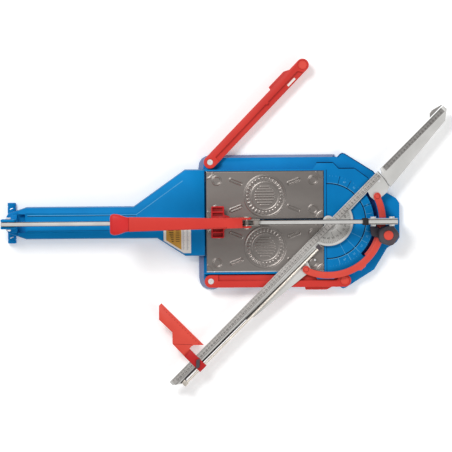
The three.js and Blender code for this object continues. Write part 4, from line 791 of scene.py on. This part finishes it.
# %% Shade along the foot of the deck's step
STEP_WEST, STEP_EAST, STEP_NORTH = -40, 116, 110
RIM_WEST, RIM_NORTH = 20, 100
cast = bmesh.new()
cast.from_mesh(frame["nodes"]["base_casting"].data)
bmesh.ops.remove_doubles(cast, verts=cast.verts, dist=0.02 * MM)
step_shade, rim_shade = bmesh.new(), bmesh.new()
for edge in cast.edges:
    first, last = (vert.co / MM for vert in edge.verts)
    walls = [face.normal for face in edge.link_faces if abs(face.normal.z) < 0.2]
    if not walls or abs(first.z - last.z) > 0.1 or min(first.y, last.y) < 20:
        continue  # only level edges of the north half, at the foot or the top of a wall
    low, high = sorted((first.x, last.x))
    at_step = STEP_WEST < low and high < STEP_EAST and min(first.y, last.y) > STEP_NORTH
    at_rim = low > RIM_WEST and walls[0].y > 0.2 and max(first.y, last.y) > RIM_NORTH
    if abs(first.z - deck_top) < 0.1 and at_step:
        out = walls[0] * 1.1
        line(step_shade, first + out, last + out, 2.2, bed_top)
    if abs(first.z - bed_top) < 0.1 and at_rim:
        out = walls[0] * -1.6
        line(rim_shade, first + out, last + out, 1.8, bed_top)
print("shaded edges:", len(step_shade.faces) // 6, "at the step,", len(rim_shade.faces) // 6, "at the rim")
cast.free()
marks("deck_step_shade", step_shade, bench, painted_groove_shadow, "base")
marks("body_rim_shade", rim_shade, bench, painted_edge_shade, "base")

# %% [markdown]
# ## Labels
# The tail has a sticker with a hatched gold panel and columns of ticks on white, the open arm a blank one.
# Both are thin sheets, cut to outline, that lie on the paint.


# %% Stickers
def sticker(corners, lift, thickness, matrix):
    work = bmesh.new()
    verts = [work.verts.new((x, y, lift)) for x, y in corners]
    base = work.faces.new(verts)
    top = bmesh.ops.extrude_face_region(work, geom=[base])["geom"]
    lifted = [v for v in top if isinstance(v, bmesh.types.BMVert)]
    bmesh.ops.translate(work, vec=(0, 0, thickness), verts=lifted)
    bmesh.ops.recalc_face_normals(work, faces=work.faces)
    bmesh.ops.transform(work, matrix=matrix, verts=work.verts)
    return work


ROOF_SLOPE = 0.04
LABEL_TOP = 0.42
TICKS, TICK_PITCH = 28, 2
HATCH_ROWS, HATCH_PITCH = 7, 5
ROOF = Matrix.Rotation(math.atan(ROOF_SLOPE), 4, "X")
roof_frame = bench @ Matrix.Translation((0, 0, deck_top)) @ ROOF
outer = [(-445, -17), (-445, -50), (-391, -84), (-371, -84), (-371, -17)]
band_edge = [(-438, -17.4), (-438, -49), (-397, -75), (-397, -17.4)]
sheet = sticker(outer, 0.15, 0.25, roof_frame)
make_piece("tail_sticker", mesh_from(sheet, "sticker"), white_print, "base", ())
panel = sticker(band_edge, LABEL_TOP, 0.1, roof_frame)
make_piece("tail_sticker_band", mesh_from(panel, "panel"), gold_print, "base", ())
columns = bmesh.new()
for column in (-393, -382):
    stroke(columns, column - 0.3, column + 0.3, -18, -76, LABEL_TOP, 0.08)
    for row in range(TICKS):
        length = 6 if row % 5 == 0 else 3.5
        tick = -19 - TICK_PITCH * row
        stroke(columns, column, column + length, tick, tick - 0.6, LABEL_TOP, 0.08)
marks("tail_sticker_columns", columns, roof_frame, grey_print, "base")
hatch = bmesh.new()
for row in range(HATCH_ROWS):
    top = -21 - HATCH_PITCH * row
    stroke(hatch, -432 + row * 1.5, -418, top, top - 2, LABEL_TOP + 0.1, 0.08)
    stroke(hatch, -412, -402, top, top - 1.4, LABEL_TOP + 0.1, 0.08)
marks("tail_sticker_hatch", hatch, roof_frame, ink, "base")

# %% Painted highlight and shade along the creases of the tail's roof
CREASE = {"start": -812, "waist": -519, "corner": (-392, 112), "y": 21, "south end": -468}
north_roof = bench @ Matrix.Translation((0, 0, deck_top)) @ ROOF.inverted()
waist = (CREASE["waist"], CREASE["y"])
light, dark, south = bmesh.new(), bmesh.new(), bmesh.new()
# Painted highlight along the upper edge of the north crease.
line(light, (CREASE["start"], CREASE["y"]), waist, 1.2, 0)
line(light, waist, CREASE["corner"], 1.2, 0)
marks("tail_crease_light", light, north_roof, painted_pale_highlight, "base")
shade_y = CREASE["y"] - 1.9
# Painted shade just below the north crease.
line(dark, (CREASE["start"], shade_y), (CREASE["waist"], shade_y), 1.5, 0)
marks("tail_crease_dark", dark, north_roof, painted_groove_shadow, "base")
# Painted shade along the south crease.
line(south, (CREASE["start"], -CREASE["y"]), (CREASE["south end"], -CREASE["y"]), 1, 0)
marks("tail_crease_south", south, roof_frame, painted_edge_shade, "base")

# %% [markdown]
# ## Marks on the red parts
# The square has a row of ticks and a crease, and the arc handle a ring round each end's boss. They are
# pressed into the moulding by a fraction of a millimetre, so strips and rings of painted shade in a darker
# red stand for them.

# %% Lines pressed into the red mouldings
SQUARE_EDGE = -480
ARC_BOSSES = ((140, -46.5), (-135, -49))
ARM_LABEL, ARM_LABEL_LIFT = [(294, -13), (322, -13), (322, -7), (294, -7)], 40.05
square_top, arc_top = top_of("square_stop"), top_of("arc_handle")
square_lines = bmesh.new()
# Painted shade in the pressed ticks and crease of the square.
for place in range(18, 158, 10):
    stroke(square_lines, SQUARE_EDGE - 3, SQUARE_EDGE, place - 0.4, place + 0.4, square_top - 0.02)
line(square_lines, (-531, 66), (-496, 28), 1, square_top - 0.02)
marks("square_marks", square_lines, ruler_frame, painted_shade_in_red, "square")
bosses = bmesh.new()
# Painted shade in the ring round each boss.
for place in ARC_BOSSES:
    ring = turned([(6.2, 0), (6.9, 0), (6.9, 0.12), (6.2, 0.12)], Matrix.Translation((*place, arc_top)), 40)
    mesh = mesh_from(ring, "ring")
    bosses.from_mesh(mesh)
    bpy.data.meshes.remove(mesh)
marks("arc_boss_rings", bosses, ruler_frame, painted_shade_in_red, "goniometer")

arm_label = sticker(ARM_LABEL, ARM_LABEL_LIFT, 0.3, arm_north_frame)
make_piece("arm_sticker", mesh_from(arm_label, "arm_label"), white_print, "arm_north", ())

# %% [markdown]
# ## Lock wire
# A bent wire leads from the square's lever back beside the rod. A curve with a round bevel is a wire's
# natural shape: a few points, smoothed as a spline, then made a mesh like every other piece.


# %% Wire
def wire(name, points, radius, matrix, material, body):
    curve = bpy.data.curves.new(name, "CURVE")
    curve.dimensions = "3D"
    curve.bevel_depth = radius
    curve.bevel_resolution = 3
    curve.use_fill_caps = True
    spline = curve.splines.new("NURBS")
    spline.points.add(len(points) - 1)
    for point, place in zip(spline.points, points):
        point.co = (*place, 1)
    spline.order_u = 3
    spline.use_endpoint_u = True
    carrier = bpy.data.objects.new(name, curve)
    work = bmesh.new()
    mesh = bpy.data.meshes.new_from_object(carrier)
    work.from_mesh(mesh)
    bmesh.ops.remove_doubles(work, verts=work.verts, dist=1e-4)
    bmesh.ops.recalc_face_normals(work, faces=work.faces)
    bmesh.ops.transform(work, matrix=matrix, verts=work.verts)
    bpy.data.meshes.remove(mesh)
    bpy.data.objects.remove(carrier)
    bpy.data.curves.remove(curve)
    return make_piece(name, mesh_from(work, name), material, body, ())


WIRE_RADIUS = 1.1
WIRE_PATH = [(-534, -22), (-556, -22), (-572, -22), (-577, -23), (-577, -27), (-574, -28.5)]
wire_points = [(x, y, ruler_top + 2 * WIRE_RADIUS) for x, y in WIRE_PATH]
lock_wire = wire("lock_wire", wire_points, WIRE_RADIUS, ruler_frame, black_plastic, "square")
span = [round(size / MM) for size in lock_wire.dimensions]
print("lock wire:", len(lock_wire.data.polygons), "faces, spans", *span, "mm")

# %% [markdown]
# ## Grip
# The end of the handle is a flattened paddle that fills the palm. Its CAD block is right in outline but
# hard. Rounded sections that grow and shrink along the handle are joined instead, as a boat is lofted,
# which gives the flared neck and the full, soft end.

# %% A lofted paddle
grip_low, grip_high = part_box("handle_grip")
grip_middle = (grip_low[2] + grip_high[2]) / 2 / MM
grip_start = grip_high[0] / MM
GRIP = [(0, 18.6, 8.5), (6, 19.2, 9.6), (12, 20.8, 10.8), (19, 23.6, 11.6), (26, 26.2, 12), (33, 27.6, 12),
        (40, 27.8, 11.6), (45, 26.6, 10.6), (48, 24, 9), (49.6, 20, 6.5)]


def squared(value, power):
    return math.copysign(abs(value) ** power, value)


def loft(stations, sides=48, power=0.55):
    """Rounded sections, each of (distance, half width, half height), joined into a closed body."""
    work = bmesh.new()
    bmesh.ops.create_circle(work, segments=sides, radius=1)
    round_section = [(vert.co.x, vert.co.y) for vert in work.verts]
    ring = work.verts[:]
    edges = work.edges[:]
    first = ring
    for index, (distance, wide, tall) in enumerate(stations):
        if index:
            made = bmesh.ops.extrude_edge_only(work, edges=edges)["geom"]
            ring = [item for item in made if isinstance(item, bmesh.types.BMVert)]
            edges = [item for item in made if isinstance(item, bmesh.types.BMEdge) and item.is_boundary]
        order = sorted(ring, key=lambda vert: vert.index) if index == 0 else ring
        for vert, (across, up) in zip(order, round_section):
            vert.co = (-distance, squared(across, power) * wide, squared(up, power) * tall)
    for loop in (first, ring):
        rim = [e for e in work.edges if e.is_boundary and e.verts[0] in loop]
        bmesh.ops.contextual_create(work, geom=rim)
    bmesh.ops.recalc_face_normals(work, faces=work.faces)
    return work


grip = loft(GRIP)
caps = [f for f in grip.faces if len(f.verts) > 4]
bevel(grip, [e for f in caps for e in f.edges], 1.5, 3)
grip_place = Matrix.Translation((grip_start * MM, 0, grip_middle * MM)) @ bench
bmesh.ops.transform(grip, matrix=grip_place, verts=grip.verts)
make_piece("palm_grip", mesh_from(grip, "grip"), deep_red, "handle", ["handle_grip"])
print("grip from", round(grip_start), "mm,", len(GRIP), "sections")

# %% [markdown]
# ## Small screws on the ruler
# A countersunk screw holds the ruler's end, and two hold the protractor.

# %% Ruler screws
SCREW_PLACES = [(172.5, -21.6, ruler_top), (-100, -48, 52.5), (150, -50, ruler_top)]
for index, screw_place in enumerate(SCREW_PLACES):
    place = ruler_frame @ Matrix.Translation(screw_place)
    screw = turned([(0, 0.05), (3, 0.05), (2.6, 0.5), (1.4, 0.5), (1.2, 0.2), (0, 0.2)], place, 32)
    make_piece(f"ruler_screw_{index + 1}", mesh_from(screw, "screw"), bright_steel_and_glint, "goniometer", ())
print("ruler screws:", len(SCREW_PLACES))

# %% [markdown]
# ## Nodes that keep their CAD shape
# Rollers, pins, feet and hidden fittings are right as they are. They only need their finish.

# %% Finishes for the nodes that stay
kept = {
    rail_steel: ["joint_plate", "clamp_stud", "return_spring", "axle_front", "axle_rear", "axle_lower",
                 "foot_pin", "roller_front", "roller_rear", "roller_lower"],
    chrome: ["pivot_pin"],
    rubber: ["rubber_foot_northwest", "rubber_foot_southwest", "rubber_foot_northeast",
             "rubber_foot_southeast", "centre_foot"],
}
for material, names in kept.items():
    for name in names:
        mesh = frame["nodes"][name].data
        mesh.materials.clear()
        mesh.materials.append(material)
print("kept nodes:", sum(len(names) for names in kept.values()))

# %% [markdown]
# ## Floor, light and camera
# The cutter lies on a white sweep and is seen from straight above through a long lens. A soft lamp to
# the upper left gives the gentle shadow at the lower right, and a larger one and a pale sky fill the rest.
# A sun would give hard shadows, and a picture of a studio would have to come from a file.

# %% Floor
FLOOR_HALF, FLOOR_GLOW = 6, 0.15
floor_work = bmesh.new()
bmesh.ops.create_grid(floor_work, x_segments=1, y_segments=1, size=FLOOR_HALF)
floor_mesh = bpy.data.meshes.new("floor")
floor_work.to_mesh(floor_mesh)
floor_work.free()
floor = bpy.data.objects.new("floor", floor_mesh)
bpy.context.scene.collection.objects.link(floor)
sweep = finish("white_sweep", (255, 255, 255), (253, 253, 253), (0.85, 0.95),
               0, 2, 200, 0, specular=0.1)
sweep_shader = sweep.node_tree.nodes["Principled BSDF"]
sweep_shader.inputs["Emission Color"].default_value = (1, 1, 1, 1)
sweep_shader.inputs["Emission Strength"].default_value = FLOOR_GLOW
floor_mesh.materials.append(sweep)
print("floor", 2 * FLOOR_HALF, "m wide")

# %% Light
SKY = 0.46
AIM = Vector((-0.3, 0, 0))
world = bpy.data.worlds.new("studio")
bpy.context.scene.world = world
world.use_nodes = True
sky = world.node_tree.nodes["Background"]
sky.inputs["Color"].default_value = (1, 1, 1, 1)
sky.inputs["Strength"].default_value = SKY


def lamp(name, place, size, power):
    """A square soft lamp, in watts, turned towards the cutter."""
    light = bpy.data.lights.new(name, "AREA")
    light.shape = "SQUARE"
    light.size = size
    light.energy = power
    holder = bpy.data.objects.new(name, light)
    holder.location = place
    holder.rotation_euler = (AIM - Vector(place)).to_track_quat("-Z", "Y").to_euler()
    bpy.context.scene.collection.objects.link(holder)
    print(name, "lamp", power, "W,", size, "m wide")


lamp("key", (-1.5, 1.7, 3.3), 1.1, 78)
lamp("fill", (2.0, -1.8, 3.0), 2.2, 46)

# %% Camera
VIEW_WIDTH = 1.2204
HEIGHT = 6.0
ROLL = math.radians(0.46)
camera_data = bpy.data.cameras.new("camera")
camera = bpy.data.objects.new("camera", camera_data)
bpy.context.scene.collection.objects.link(camera)
eye = Vector((-0.291, 0.191, HEIGHT))
target = Vector((-0.2762, -0.0112, deck_top * MM))
forward = (target - eye).normalized()
right = Vector((math.cos(ROLL), -math.sin(ROLL), 0))
right = (right - forward * right.dot(forward)).normalized()
up = right.cross(forward)
camera.matrix_world = Matrix.Translation(eye) @ Matrix((right, up, -forward)).transposed().to_4x4()
camera_data.angle = 2 * math.atan(VIEW_WIDTH / 2 / (eye - target).length)
camera_data.clip_end = 50
bpy.context.scene.camera = camera
bpy.context.scene.view_settings.view_transform = "Standard"
print("camera sees", VIEW_WIDTH, "m of the deck from", HEIGHT, "m")
